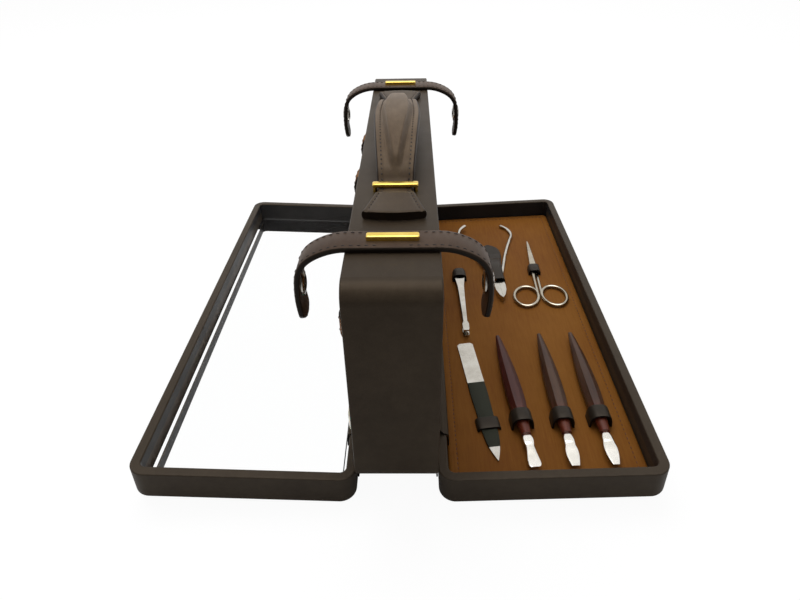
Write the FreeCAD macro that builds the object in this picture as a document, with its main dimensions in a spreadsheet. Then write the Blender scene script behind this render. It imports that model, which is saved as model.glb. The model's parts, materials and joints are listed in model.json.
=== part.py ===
import FreeCAD, Part
import math
import os
import Sketcher

# Hard toiletry case, standing open: a narrow leather body between two trays that are hinged at its
# bottom edges. X runs across the case, Y along it with the front at -Y, and Z is up from the floor.

Vector = FreeCAD.Vector
Rotation = FreeCAD.Rotation
Placement = FreeCAD.Placement

# Driving dimensions, in millimetres and degrees
SIZES = {
    # case
    "case_length": 300.0,
    "case_height": 112.0,
    "body_width": 40.0,
    "tray_depth": 18.0,
    "wall": 5.2,
    "tray_floor": 2.2,
    "corner_radius": 8.5,
    "inner_corner_radius": 3.3,
    "rim_round": 0.8,
    "base_round": 2.5,
    "hinge_gap": 0.1,
    "tray_tilt": 2.6,
    "lining": 0.8,
    "fit_gap": 0.3,
    "partition_place": 12.0,
    "partition_thickness": 3.0,
    "mirror_thickness": 2.1,
    "mirror_bevel_width": 1.8,
    "mirror_bevel_depth": 0.5,
    "panel_thickness": 3.2,
    "panel_round": 1.0,
    # leather at the hinges
    "hinge_leather": 1.0,
    "hinge_leather_reach": 12.0,
    "hinge_leather_inset": 12.0,
    "gusset_leather": 0.8,
    "gusset_inset": 29.0,
    "gusset_drop": 8.0,
    # cross straps and their snaps
    "strap_inset": 33.5,
    "strap_width": 15.0,
    "strap_leather": 2.6,
    "strap_split": 12.0,
    "strap_bend": 16.0,
    "strap_slack": 2.0,
    "strap_drop": 35.5,
    "strap_tip_round": 6.0,
    "socket_radius": 5.5,
    "socket_height": 1.2,
    "socket_bore": 3.4,
    "socket_wall": 0.6,
    "cap_radius": 6.0,
    "cap_height": 1.3,
    "socket_drop": 19.0,
    "stud_flange_radius": 5.5,
    "stud_flange": 0.6,
    "stud_neck_radius": 2.3,
    "stud_tip_radius": 3.0,
    "stud_ball": 1.8,
    "stud_post_radius": 1.6,
    "pin_gap": 0.05,
    # brass bars
    "bar_length": 22.4,
    "bar_depth": 4.0,
    "bar_height": 2.3,
    "bar_corner": 0.9,
    "bar_round": 0.6,
    "prong_radius": 0.9,
    "prong_inset": 0.95,
    # carrying handle
    "keeper_inset": 86.0,
    "keeper_room": 0.5,
    "handle_thickness": 4.0,
    "handle_neck": 17.5,
    "handle_middle": 26.0,
    "handle_rise": 15.5,
    "handle_fan_width": 29.4,
    "handle_fan_length": 29.0,
    "handle_fan_start": 4.5,
    "handle_travel": 2.5,
    "handle_fan_bulge": 2.2,
    "grip_height": 4.0,
    "grip_middle": 17.6,
    "grip_end": 8.0,
    "grip_reach": 52.0,
    # tools: places are (out from the hinge, back from the front face) in the tray
    "loop_leather": 1.2,
    "loop_band": 8.0,
    "loop_bevel": 0.3,
    "loop_place": 33.0,
    "file_loop_place": 26.0,
    "file_length": 97.0,
    "file_width": 10.0,
    "file_thickness": 1.2,
    "file_out": 31.7,
    "file_back": 20.4,
    "file_corner": 1.5,
    "file_tip_round": 60.0,
    "file_shoulder": 24.0,
    "file_tip_bare": 9.7,
    "file_grit": 50.0,
    "file_turn": 6.2,
    "abrasive_thickness": 0.15,
    "implement_length": 106.0,
    "implement_width": 10.4,
    "implement_height": 8.0,
    "implement_blade": 21.5,
    "implement_pitch": 20.1,
    "implement_out": 49.4,
    "implement_back": 13.6,
    "implement_turn": 3.6,
    "blade_thickness": 1.0,
    "tweezers_length": 78.0,
    "tweezers_width": 7.0,
    "tweezers_arm": 1.1,
    "tweezers_gap": 4.0,
    "tweezers_weld": 0.5,
    "tweezers_cap_depth": 11.0,
    "tweezers_out": 23.1,
    "tweezers_spacing": 8.2,
    "nippers_length": 112.0,
    "nippers_span": 41.0,
    "nippers_plate": 2.3,
    "nippers_rod": 1.3,
    "nippers_jaw": 27.4,
    "nippers_jaw_width": 8.0,
    "nippers_lap_radius": 3.9,
    "nippers_screw_radius": 1.5,
    "nippers_head_radius": 2.4,
    "nippers_head": 0.7,
    "flap_leather": 0.8,
    "flap_width": 14.6,
    "flap_end": 78.5,
    "nippers_out": 52.3,
    "nippers_spacing": 42.9,
    "nippers_turn": 2.0,
    "scissors_length": 91.0,
    "scissors_plate": 1.4,
    "scissors_blade": 42.0,
    "scissors_width": 5.4,
    "scissors_screw_radius": 1.0,
    "scissors_head_radius": 1.8,
    "scissors_head": 0.5,
    "scissors_loop_band": 13.0,
    "scissors_loop_gap": 2.6,
    "scissors_loop_bevel": 0.2,
    "scissors_ring_width": 17.0,
    "scissors_ring_length": 24.0,
    "scissors_wire": 1.15,
    "scissors_ring_turn": 6.0,
    "scissors_out": 81.9,
    "scissors_spacing": 33.8,
    "scissors_turn": 2.0,
    "slide_gap": 0.3,
    "rest_gap": 0.1,
    "blade_gap": 0.1,
    # contents of the left compartment
    "brush_overhang": 3.0,
    "tube_overhang": 4.0,
    "tube_radius": 11.0,
    "tube_wall": 1.0,
    "tube_bevel": 2.0,
    "tube_length": 175.0,
    "tube_cap_length": 58.0,
    "tube_headroom": 3.0,
    "tube_end_gap": 12.0,
    "bottle_radius": 16.5,
    "bottle_headroom": 1.5,
    "bottle_shoulder": 10.0,
    "bottle_foot": 2.0,
    "bottle_lip": 2.5,
    "bottle_neck": 8.0,
    "bottle_cap_radius": 10.0,
    "bottle_cap_height": 14.0,
    "bottle_cap_bevel": 1.5,
    "bottle_front_gap": 17.3,
    "bottle_spacing": 5.0,
    "shaving_brush_radius": 12.0,
    "shaving_brush_height": 50.0,
    "shaving_brush_knot": 20.0,
    "shaving_brush_groove": 9.0,
    "shaving_brush_shoulder": 17.0,
    "shaving_brush_bevel": 4.0,
    "shaving_brush_place": 20.0,
    "shaving_brush_gap": 8.0,
    "nail_brush_length": 56.0,
    "nail_brush_width": 24.0,
    "nail_brush_back": 10.0,
    "nail_brush_corner": 8.0,
    "nail_brush_round": 3.0,
    "nail_brush_tuft": 16.0,
    "nail_brush_end_gap": 3.0,
    "hair_brush_back": 12.0,
    "hair_brush_round": 4.0,
    "hair_brush_tuft": 16.0,
    "hair_brush_front_gap": 15.3,
    "hair_brush_end_gap": 5.0,
    "hair_brush_headroom": 11.8,
    "tuft_inset": 1.5,
    "hair_tuft_inset": 6.0,
    "retainer_band": 12.0,
    "retainer_leather": 1.0,
    "retainer_bevel": 3.0,
    "bottle_band_height": 26.0,
    "shaving_band_drop": 13.0,
}


class Size:
    """A number that remembers the spreadsheet formula it comes from."""

    def __init__(self, value, formula):
        self.value = float(value)
        self.formula = formula

    def __add__(self, other):
        other = as_size(other)
        return Size(self.value + other.value, f"({self.formula} + {other.formula})")

    def __radd__(self, other):
        return as_size(other) + self

    def __sub__(self, other):
        other = as_size(other)
        return Size(self.value - other.value, f"({self.formula} - {other.formula})")

    def __rsub__(self, other):
        return as_size(other) - self

    def __mul__(self, other):
        other = as_size(other)
        return Size(self.value * other.value, f"({self.formula} * {other.formula})")

    def __rmul__(self, other):
        return as_size(other) * self

    def __truediv__(self, other):
        other = as_size(other)
        return Size(self.value / other.value, f"({self.formula} / {other.formula})")

    def __neg__(self):
        return Size(-self.value, f"(0 - {self.formula})")

    def __float__(self):
        return self.value


def as_size(number):
    if isinstance(number, Size):
        return number
    return Size(number, repr(float(number)))


def sine(angle):
    return Size(math.sin(math.radians(angle.value)), f"sin({angle.formula})")


def cosine(angle):
    return Size(math.cos(math.radians(angle.value)), f"cos({angle.formula})")


doc = FreeCAD.newDocument("toiletry_case")
sheet = doc.addObject("Spreadsheet::Sheet", "Sizes")


class Named:
    """The sizes by name, each bound to its cell."""


size = Named()
for row, (alias, number) in enumerate(SIZES.items(), start=1):
    sheet.set(f"A{row}", alias.replace("_", " "))
    sheet.set(f"B{row}", str(number))
    sheet.setAlias(f"B{row}", alias)
    setattr(size, alias, Size(number, "Sizes." + alias))
doc.recompute()

# Sizes that follow from the driving ones. The trays rest on the edge beside their hinge and on the
# snap studs under them, so they tilt up outwards, and the hinge stands at rim_height.
tilt_sine = sine(size.tray_tilt)
tilt_cosine = cosine(size.tray_tilt)
hinge_place = size.body_width / 2 + size.hinge_gap
rim_height = tilt_cosine * (size.tray_depth - size.base_round) + size.base_round * (1 - tilt_sine)
body_top = rim_height + size.case_height
strap_place = size.case_length / 2 - size.strap_inset
stud_place = size.case_height - size.socket_drop
stud_height = (rim_height + tilt_sine * (stud_place - size.stud_tip_radius)) / tilt_cosine - size.tray_depth
strap_inner = hinge_place + size.tray_depth + size.strap_slack
strap_outer = strap_inner + size.strap_leather
prong_place = size.bar_length / 2 - size.prong_inset
keeper_place = size.case_length / 2 - size.keeper_inset
keeper_height = size.handle_thickness + size.keeper_room
panel_top = size.panel_thickness + size.tray_floor - size.tray_depth
floor_top = size.tray_floor - size.tray_depth
cavity_floor = rim_height + size.wall + size.lining
gusset_start = size.partition_place + size.partition_thickness + size.fit_gap
gusset_lift = size.wall + size.lining + size.rest_gap
contents_floor = rim_height + gusset_lift + size.gusset_leather + size.fit_gap
tweezers_back = size.file_back + size.file_length * cosine(size.file_turn) + size.tweezers_spacing
implement_end = size.implement_back + size.implement_length
nippers_back = implement_end + size.nippers_spacing
scissors_back = implement_end + size.scissors_spacing + size.scissors_length
# The compartment's contents stand one behind the other, under the tube that lies along the top.
front_wall = size.wall - size.case_length / 2
rear_wall = size.case_length / 2 - size.wall
tube_height = body_top - size.wall - size.lining - size.tube_headroom - size.tube_radius
tube_underside = tube_height - size.tube_radius
tube_out = size.tube_radius - size.tube_overhang - size.body_width / 2
tube_start = rear_wall - size.tube_end_gap - size.tube_length
bottle_out = size.partition_place - size.fit_gap - size.bottle_radius
shaving_out = size.shaving_brush_radius - size.brush_overhang - size.body_width / 2
shaving_along = front_wall + size.shaving_brush_place
nail_brush_end = front_wall + size.nail_brush_end_gap + size.nail_brush_length
bottle_place = nail_brush_end + size.bottle_front_gap + size.bottle_radius
bottle_pitch = 2 * size.bottle_radius + size.bottle_spacing
bottle_height = (tube_underside - size.bottle_headroom - size.bottle_cap_height - size.fit_gap
                 - contents_floor)
hair_brush_start = bottle_place + bottle_pitch + size.bottle_radius + size.hair_brush_front_gap
hair_brush_length = rear_wall - size.hair_brush_end_gap - hair_brush_start
hair_brush_width = tube_underside - size.hair_brush_headroom - contents_floor
shaving_brush_foot = (contents_floor + size.nail_brush_tuft + size.nail_brush_back
                      + size.shaving_brush_gap)
FRONT = -1
REAR = 1
LEFT = -1
RIGHT = 1

nodes = []


# Helpers

def new_body(name):
    body = doc.addObject("PartDesign::Body", name)
    body.Label = name
    return body


def keep(name, thing):
    """Marks an object as a sub-part under its name."""
    thing.Label = name
    nodes.append((name, thing))
    return thing


def bind(thing, path, number):
    thing.setExpression(path, as_size(number).formula)


def sketch_on(body, role, lift=0.0):
    """A sketch on one of the body's own origin planes, lifted along the plane's normal."""
    sketch = body.newObject("Sketcher::SketchObject", body.Name + "_sketch")
    plane = next(feature for feature in body.Origin.OriginFeatures if feature.Role == role)
    sketch.AttachmentSupport = [(plane, "")]
    sketch.MapMode = "FlatFace"
    if float(lift) != 0.0:
        sketch.AttachmentOffset = Placement(Vector(0, 0, float(lift)), Rotation())
        bind(sketch, "AttachmentOffset.Base.z", lift)
    return sketch


def dimension(sketch, kind, *arguments):
    """Adds a driving dimension whose value, the last argument, follows the spreadsheet."""
    number = as_size(arguments[-1])
    index = sketch.addConstraint(Sketcher.Constraint(kind, *arguments[:-1], number.value))
    if "Sizes" in number.formula:
        sketch.setExpression(f"Constraints[{index}]", number.formula)


def rounded_rectangle(sketch, width, height, radius):
    """A rectangle with round corners, centred on the sketch's origin."""
    x = float(width) / 2
    y = float(height) / 2
    r = float(radius)
    first = sketch.GeometryCount
    sides = [((r - x, -y), (x - r, -y)), ((x, r - y), (x, y - r)),
             ((x - r, y), (r - x, y)), ((-x, y - r), (-x, r - y))]
    corners = [(x - r, r - y, -90), (x - r, y - r, 0), (r - x, y - r, 90), (r - x, r - y, 180)]
    for start, end in sides:
        sketch.addGeometry(Part.LineSegment(Vector(*start, 0), Vector(*end, 0)), False)
    for centre_x, centre_y, angle in corners:
        circle_line = Part.Circle(Vector(centre_x, centre_y, 0), Vector(0, 0, 1), r)
        arc = Part.ArcOfCircle(circle_line, math.radians(angle), math.radians(angle + 90))
        sketch.addGeometry(arc, False)
    for index in range(4):
        side = first + index
        corner = first + 4 + index
        sketch.addConstraint(Sketcher.Constraint("Tangent", side, 2, corner, 1))
        sketch.addConstraint(Sketcher.Constraint("Tangent", corner, 2, first + (index + 1) % 4, 1))
        way = "Horizontal" if index % 2 == 0 else "Vertical"
        sketch.addConstraint(Sketcher.Constraint(way, side))
    for index in (1, 2, 3):
        sketch.addConstraint(Sketcher.Constraint("Equal", first + 4, first + 4 + index))
    sketch.addConstraint(Sketcher.Constraint("Symmetric", first + 4, 3, first + 6, 3, -1, 1))
    dimension(sketch, "Radius", first + 4, radius)
    dimension(sketch, "DistanceX", first + 3, 2, first + 1, 1, width)
    dimension(sketch, "DistanceY", first, 1, first + 2, 2, height)


def circle(sketch, x, y, radius):
    centre = Vector(float(x), float(y), 0)
    index = sketch.addGeometry(Part.Circle(centre, Vector(0, 0, 1), float(radius)), False)
    dimension(sketch, "Radius", index, radius)
    pin_point(sketch, index, 3, x, y)


def pin_point(sketch, index, end, x, y):
    """Holds a point of the geometry at x, y from the sketch's origin."""
    if float(x) == 0.0:
        sketch.addConstraint(Sketcher.Constraint("PointOnObject", index, end, -2))
    else:
        dimension(sketch, "DistanceX", -1, 1, index, end, x)
    if float(y) == 0.0:
        sketch.addConstraint(Sketcher.Constraint("PointOnObject", index, end, -1))
    else:
        dimension(sketch, "DistanceY", -1, 1, index, end, y)


def outline(sketch, points, arcs=None):
    """A closed outline through points. arcs gives, by the number of the side, the radius of a side
    that is an arc: plus where it turns left, minus where it turns right."""
    arcs = arcs or {}
    count = len(points)
    starts = []
    ends = []
    for index in range(count):
        start = Vector(float(points[index][0]), float(points[index][1]), 0)
        end = Vector(float(points[(index + 1) % count][0]), float(points[(index + 1) % count][1]), 0)
        if index not in arcs:
            side = sketch.addGeometry(Part.LineSegment(start, end), False)
            starts.append((side, 1))
            ends.append((side, 2))
            continue
        radius = arcs[index]
        chord = end - start
        across = Vector(-chord.y, chord.x, 0).normalize()
        reach = math.sqrt(float(radius) ** 2 - (chord.Length / 2) ** 2)
        turn = 1 if float(radius) > 0 else -1
        centre = (start + end) / 2 + across * reach * turn
        first, last = (start, end) if turn > 0 else (end, start)
        angles = [math.atan2(point.y - centre.y, point.x - centre.x) for point in (first, last)]
        curve = Part.Circle(centre, Vector(0, 0, 1), abs(float(radius)))
        side = sketch.addGeometry(Part.ArcOfCircle(curve, *angles), False)
        starts.append((side, 1 if turn > 0 else 2))
        ends.append((side, 2 if turn > 0 else 1))
    for index in range(count):
        sketch.addConstraint(Sketcher.Constraint("Coincident", *ends[index], *starts[(index + 1) % count]))
    for index, point in enumerate(points):
        pin_point(sketch, *starts[index], *point)
    for index, radius in arcs.items():
        dimension(sketch, "Radius", starts[index][0], radius if float(radius) > 0 else -radius)


def feature_of(body, kind, sketch, length, symmetric, backwards):
    feature = body.newObject("PartDesign::" + kind, body.Name + "_" + kind.lower())
    feature.Profile = sketch
    feature.Length = float(length)
    bind(feature, "Length", length)
    if symmetric:
        feature.SideType = "Symmetric"
    feature.Reversed = backwards
    sketch.Visibility = False
    doc.recompute()
    return feature


def pad(body, sketch, length, symmetric=False, backwards=False):
    return feature_of(body, "Pad", sketch, length, symmetric, backwards)


def pocket(body, sketch, length, symmetric=False, backwards=False):
    """Cuts the sketch out of the body, and makes sure that it did cut."""
    before = body.Shape.Volume
    feature = feature_of(body, "Pocket", sketch, length, symmetric, backwards)
    if not body.Shape.Volume < before:
        raise RuntimeError(body.Label + ": a pocket cut nothing")
    return feature


def revolve(body, sketch, axis="V_Axis"):
    feature = body.newObject("PartDesign::Revolution", body.Name + "_revolution")
    feature.Profile = sketch
    feature.ReferenceAxis = (sketch, [axis])
    feature.Angle = 360.0
    doc.recompute()
    return feature


def dress(body, kind, test, **values):
    """A fillet or chamfer on the edges of the body's last feature that pass the test."""
    base = body.Tip
    names = [f"Edge{number}" for number, edge in enumerate(base.Shape.Edges, start=1) if test(edge)]
    if not names:
        raise RuntimeError(body.Label + ": no edge to dress")
    feature = body.newObject("PartDesign::" + kind, body.Name + "_" + kind.lower())
    feature.Base = (base, names)
    for name, number in values.items():
        if isinstance(number, str):
            setattr(feature, name, number)
        else:
            setattr(feature, name, float(number))
            bind(feature, name, number)
    doc.recompute()
    return feature


def level(edge, axis, place):
    """Whether the edge lies in the plane at this place on the axis."""
    box = edge.BoundBox
    low = getattr(box, axis + "Min")
    high = getattr(box, axis + "Max")
    return abs(low - float(place)) < 1e-3 and abs(high - float(place)) < 1e-3


def place(thing, x=0.0, y=0.0, z=0.0, rotation=None):
    thing.Placement = Placement(Vector(float(x), float(y), float(z)), rotation or Rotation())
    for axis, number in zip("xyz", (x, y, z)):
        if "Sizes" in as_size(number).formula:
            bind(thing, "Placement.Base." + axis, number)
    return thing


def place_in_tray(thing, side, out, along, up, turn=0.0):
    """Places a thing by tray coordinates: out from the hinge, along the case, up from the rim."""
    x = hinge_place + out * tilt_cosine - up * tilt_sine
    z = rim_height + out * tilt_sine + up * tilt_cosine
    rotation = Rotation(Vector(0, 1, 0), -float(size.tray_tilt)) * Rotation(Vector(0, 0, 1), float(turn))
    if side == LEFT:
        rotation = Rotation(Vector(0, 0, 1), 180) * rotation
        return place(thing, -x, -along, z, rotation)
    return place(thing, x, along, z, rotation)


def solid(name, shape):
    thing = doc.addObject("Part::Feature", name)
    thing.Shape = shape
    return thing


def group(name, members):
    """Like pieces that share one sub-part, each still a solid of its own."""
    together = doc.addObject("Part::Compound", name)
    together.Links = members
    return keep(name, together)


def polygon(points):
    corners = [Vector(*[float(number) for number in point]) for point in points]
    return Part.makePolygon(corners + corners[:1])


def prism(points, direction):
    """A straight prism over the polygon."""
    return Part.Face(polygon(points)).extrude(Vector(*[float(number) for number in direction]))


# Middle body

def body_ring(name, shrink, thickness, width, radius):
    """A ring of four walls: shrink is how far its outside lies inside the case's own."""
    body = new_body(name)
    outer = sketch_on(body, "YZ_Plane")
    rounded_rectangle(outer, size.case_length - 2 * shrink, size.case_height - 2 * shrink, radius[0])
    pad(body, outer, width, symmetric=True)
    inner = sketch_on(body, "YZ_Plane")
    hole = shrink + thickness
    rounded_rectangle(inner, size.case_length - 2 * hole, size.case_height - 2 * hole, radius[1])
    pocket(body, inner, width, symmetric=True)
    return body


def prong_holes(body, lift, depth, places):
    holes = sketch_on(body, "XY_Plane", lift)
    for x, y in places:
        circle(holes, x, y, size.prong_radius + size.pin_gap)
    pocket(body, holes, depth)


def make_body_shell():
    radii = (size.corner_radius, size.inner_corner_radius)
    body = body_ring("body_shell", 0, size.wall, size.body_width, radii)
    half = float(size.body_width) / 2
    dress(body, "Fillet", lambda edge: level(edge, "X", half) or level(edge, "X", -half),
          Radius=size.rim_round)
    places = [(side * prong_place, end * along) for side in (LEFT, RIGHT) for end in (FRONT, REAR)
              for along in (strap_place, keeper_place)]
    prong_holes(body, size.case_height / 2, size.wall * 1.5, places)
    place(body, z=rim_height + size.case_height / 2)
    keep("body_shell", body)


def make_body_lining():
    radii = (size.inner_corner_radius, size.inner_corner_radius - size.lining)
    width = size.body_width - 2 * size.rim_round
    body = body_ring("body_lining", size.wall, size.lining, width, radii)
    place(body, z=rim_height + size.case_height / 2)
    keep("body_lining", body)


def make_partition():
    body = new_body("partition")
    inset = size.wall + size.lining + size.rest_gap
    board = sketch_on(body, "YZ_Plane", size.partition_place)
    rounded_rectangle(board, size.case_length - 2 * inset, size.case_height - 2 * inset,
                      size.inner_corner_radius - size.lining)
    pad(body, board, size.partition_thickness)
    place(body, z=rim_height + size.case_height / 2)
    keep("partition", body)


def make_hinge_leathers():
    """The covering leather that bends at each hinge, glued under the body and on the tray's wall."""
    for side, name in ((LEFT, "hinge_leather_left"), (RIGHT, "hinge_leather_right")):
        body = new_body(name)
        edge = hinge_place
        lean = size.hinge_leather_reach * tilt_sine
        drop = size.hinge_leather_reach * tilt_cosine
        profile = sketch_on(body, "XZ_Plane")
        outline(profile, [
            (edge - size.hinge_leather_reach, -size.hinge_leather),
            (edge - size.hinge_leather, -size.hinge_leather),
            (edge - size.hinge_leather + lean, -drop),
            (edge - size.hinge_gap + lean, -drop),
            (edge - size.hinge_gap, 0.0),
            (edge - size.hinge_leather_reach, 0.0),
        ])
        pad(body, profile, size.case_length - 2 * size.hinge_leather_inset, symmetric=True)
        place(body, z=rim_height, rotation=Rotation(Vector(0, 0, 1), 0 if side == RIGHT else 180))
        keep(name, body)


def make_gussets():
    """The inner leather of each hinge, from the body's floor over the rims into the tray."""
    for side, name in ((LEFT, "gusset_left"), (RIGHT, "gusset_right")):
        body = new_body(name)
        foot = hinge_place + size.wall + size.fit_gap
        lean = size.gusset_drop * tilt_sine
        profile = sketch_on(body, "XZ_Plane")
        outline(profile, [
            (gusset_start, gusset_lift),
            (hinge_place - size.fit_gap, gusset_lift),
            (foot, size.gusset_leather),
            (foot + lean, -size.gusset_drop),
            (foot + lean + size.gusset_leather, -size.gusset_drop),
            (foot + size.gusset_leather, 2 * size.gusset_leather),
            (hinge_place, gusset_lift + size.gusset_leather),
            (gusset_start, gusset_lift + size.gusset_leather),
        ])
        pad(body, profile, size.case_length - 2 * size.gusset_inset, symmetric=True)
        place(body, z=rim_height, rotation=Rotation(Vector(0, 0, 1), 0 if side == RIGHT else 180))
        keep(name, body)


# Cross straps, bars and snaps

def make_straps():
    for end, where in ((FRONT, "front"), (REAR, "rear")):
        body = new_body("strap_centre_" + where)
        band = sketch_on(body, "XY_Plane")
        half = size.strap_width / 2
        outline(band, [(-size.strap_split, -half), (size.strap_split, -half),
                       (size.strap_split, half), (-size.strap_split, half)])
        pad(body, band, size.strap_leather)
        prong_holes(body, size.strap_leather, size.strap_leather * 1.5,
                    [(-prong_place, 0.0), (prong_place, 0.0)])
        place(body, y=end * strap_place, z=body_top)
        keep("strap_centre_" + where, body)
        for side, hand in ((LEFT, "left"), (RIGHT, "right")):
            make_strap_end(side, end, f"{where}_{hand}")


def make_strap_end(side, end, name):
    """A strap end that keeps the set of the closed case: flat over the top, then down outside it."""
    turned = Rotation(Vector(0, 0, 1), 0 if side == RIGHT else 180)
    body = new_body("strap_end_" + name)
    inner_bend = size.strap_bend - size.strap_leather
    start = strap_outer - size.strap_bend
    profile = sketch_on(body, "XZ_Plane")
    outline(profile, [
        (size.strap_split, 0.0),
        (start, 0.0),
        (strap_inner, -inner_bend),
        (strap_inner, -size.strap_drop),
        (strap_outer, -size.strap_drop),
        (strap_outer, -inner_bend),
        (start, size.strap_leather),
        (size.strap_split, size.strap_leather),
    ], {1: -inner_bend, 5: size.strap_bend})
    pad(body, profile, size.strap_width, symmetric=True)
    half = float(size.strap_width) / 2
    low = float(size.strap_drop)
    dress(body, "Fillet", lambda edge: level(edge, "Z", -low) and (level(edge, "Y", half)
          or level(edge, "Y", -half)), Radius=size.strap_tip_round)
    barrel = size.socket_bore + size.socket_wall
    hole = sketch_on(body, "YZ_Plane", strap_outer + size.strap_leather / 4)
    circle(hole, 0.0, -size.socket_drop, barrel + size.pin_gap)
    pocket(body, hole, size.strap_leather * 1.5)
    place(body, y=end * strap_place, z=body_top, rotation=turned)
    keep("strap_end_" + name, body)

    snap = new_body("snap_socket_" + name)
    outer = size.strap_leather
    dome = (size.cap_radius * size.cap_radius + size.cap_height * size.cap_height) / (2 * size.cap_height)
    ring = sketch_on(snap, "XZ_Plane")
    outline(ring, [
        (size.socket_bore, -size.socket_height), (size.socket_radius, -size.socket_height * 0.6),
        (size.socket_radius, 0.0), (barrel, 0.0), (barrel, outer), (size.cap_radius, outer),
        (0.0, outer + size.cap_height), (0.0, outer), (size.socket_bore, outer),
    ], {5: dome})
    revolve(snap, ring)
    place(snap, side * strap_inner, end * strap_place, body_top - size.socket_drop,
          turned * Rotation(Vector(0, 1, 0), 90))
    keep("snap_socket_" + name, snap)


def make_bar(name, leg):
    """A brass bar on two round prongs; its origin is in the middle of its underside."""
    body = new_body(name)
    plan = sketch_on(body, "XY_Plane")
    rounded_rectangle(plan, size.bar_length, size.bar_depth, size.bar_corner)
    pad(body, plan, size.bar_height)
    top = float(size.bar_height)
    dress(body, "Fillet", lambda edge: level(edge, "Z", top), Radius=size.bar_round)
    legs = sketch_on(body, "XY_Plane")
    circle(legs, -prong_place, 0.0, size.prong_radius)
    circle(legs, prong_place, 0.0, size.prong_radius)
    pad(body, legs, leg, backwards=True)
    return body


def make_bars():
    strap_bars = []
    keepers = []
    for end, where in ((FRONT, "front"), (REAR, "rear")):
        bar = make_bar("strap_bar_" + where, size.strap_leather + size.wall)
        strap_bars.append(place(bar, y=end * strap_place, z=body_top + size.strap_leather))
        keeper = make_bar("keeper_bar_" + where, keeper_height + size.wall)
        keepers.append(place(keeper, y=end * keeper_place, z=body_top + keeper_height))
    group("strap_bars", strap_bars)
    group("handle_keepers", keepers)


def make_studs(side, name):
    """Snap studs riveted through a tray's floor. The part stands on their tips."""
    studs = []
    for end, where in ((FRONT, "front"), (REAR, "rear")):
        body = new_body(f"{name}_{where}")
        profile = sketch_on(body, "XZ_Plane")
        outline(profile, [
            (0.0, -stud_height),
            (size.stud_tip_radius, -stud_height),
            (size.stud_tip_radius, size.stud_ball - stud_height),
            (size.stud_neck_radius, size.stud_ball * 1.2 - stud_height),
            (size.stud_neck_radius, -size.stud_flange),
            (size.stud_flange_radius, -size.stud_flange * 0.5),
            (size.stud_flange_radius, 0.0),
            (size.stud_post_radius, 0.0),
            (size.stud_post_radius, size.tray_floor),
            (0.0, size.tray_floor),
        ])
        revolve(body, profile)
        studs.append(place_in_tray(body, side, stud_place, end * strap_place, -size.tray_depth))
    group(name, studs)


# Carrying handle

# How the arch flattens towards its middle, the width narrows to the neck, and the grip falls off
ARCH_POWER = 2.6
NECK_POWER = 1.3
GRIP_POWER = 4
# The least share of the grip's base that its flat top keeps
GRIP_TOP = 0.3


def make_handle():
    """The leather handle: flared flat ends, a bowed middle and a raised grip that tapers away."""
    keeper = float(keeper_place)
    fan_end = keeper + float(size.handle_fan_length)
    fan_start = keeper + float(size.handle_fan_start)
    bow = keeper - float(size.bar_depth / 2 + size.handle_travel)

    def lift(y):
        share = min(abs(y) / bow, 1.0)
        return float(size.handle_rise) * (1 - share ** ARCH_POWER)

    def half_width(y):
        if abs(y) > fan_start:
            share = (abs(y) - fan_start) / (fan_end - fan_start)
            return (float(size.handle_neck) + float(size.handle_fan_width - size.handle_neck) * share) / 2
        share = min(abs(y) / keeper, 1.0)
        taper = float(size.handle_middle - size.handle_neck) * share ** NECK_POWER
        return (float(size.handle_middle) - taper) / 2

    def section(y):
        """The handle's cross section: a flat strap with a grip of sloping sides on it."""
        wide = half_width(y)
        low = lift(y)
        high = low + float(size.handle_thickness)
        share = min(abs(y) / float(size.grip_reach), 1.0)
        grip = float(size.grip_height) * (1 - share ** GRIP_POWER)
        base = (float(size.grip_middle) + float(size.grip_end - size.grip_middle) * share) / 2
        crown = max(base - float(size.grip_height), base * GRIP_TOP)
        return polygon([(-wide, y, low), (wide, y, low), (wide, y, high), (base, y, high),
                        (crown, y, high + grip), (-crown, y, high + grip), (-base, y, high),
                        (-wide, y, high)])

    def strap(stations):
        return Part.makeLoft([section(y) for y in stations], True, True)

    reach = float(size.grip_reach)
    shares = (0.94, 0.84, 0.7, 0.5, 0.25)
    half = [bow + 1.0, bow - 1.5, bow - 6.0, reach] + [reach * share for share in shares]
    middle = [-y for y in half] + [0.0] + half[::-1]
    tail = fan_end + float(size.handle_fan_bulge)
    stations = [-tail, -fan_start] + middle + [fan_start, tail]
    shape = strap(stations)
    wide = float(size.handle_fan_width) / 2
    tall = float(size.handle_thickness + size.handle_rise + size.grip_height) + 1.0
    edges = []
    for turn in (1, -1):
        arc = Part.Arc(Vector(wide * turn, fan_end * turn, -1), Vector(0, tail * turn, -1),
                       Vector(-wide * turn, fan_end * turn, -1))
        edges.append(arc.toShape())
        edges.append(Part.LineSegment(Vector(-wide * turn, fan_end * turn, -1),
                                      Vector(-wide * turn, -fan_end * turn, -1)).toShape())
    plan = Part.Face(Part.Wire(edges)).extrude(Vector(0, 0, tall + 1))
    handle = solid("carry_handle", shape.common(plan).removeSplitter())
    place(handle, z=body_top)
    keep("carry_handle", handle)


# Trays

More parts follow.
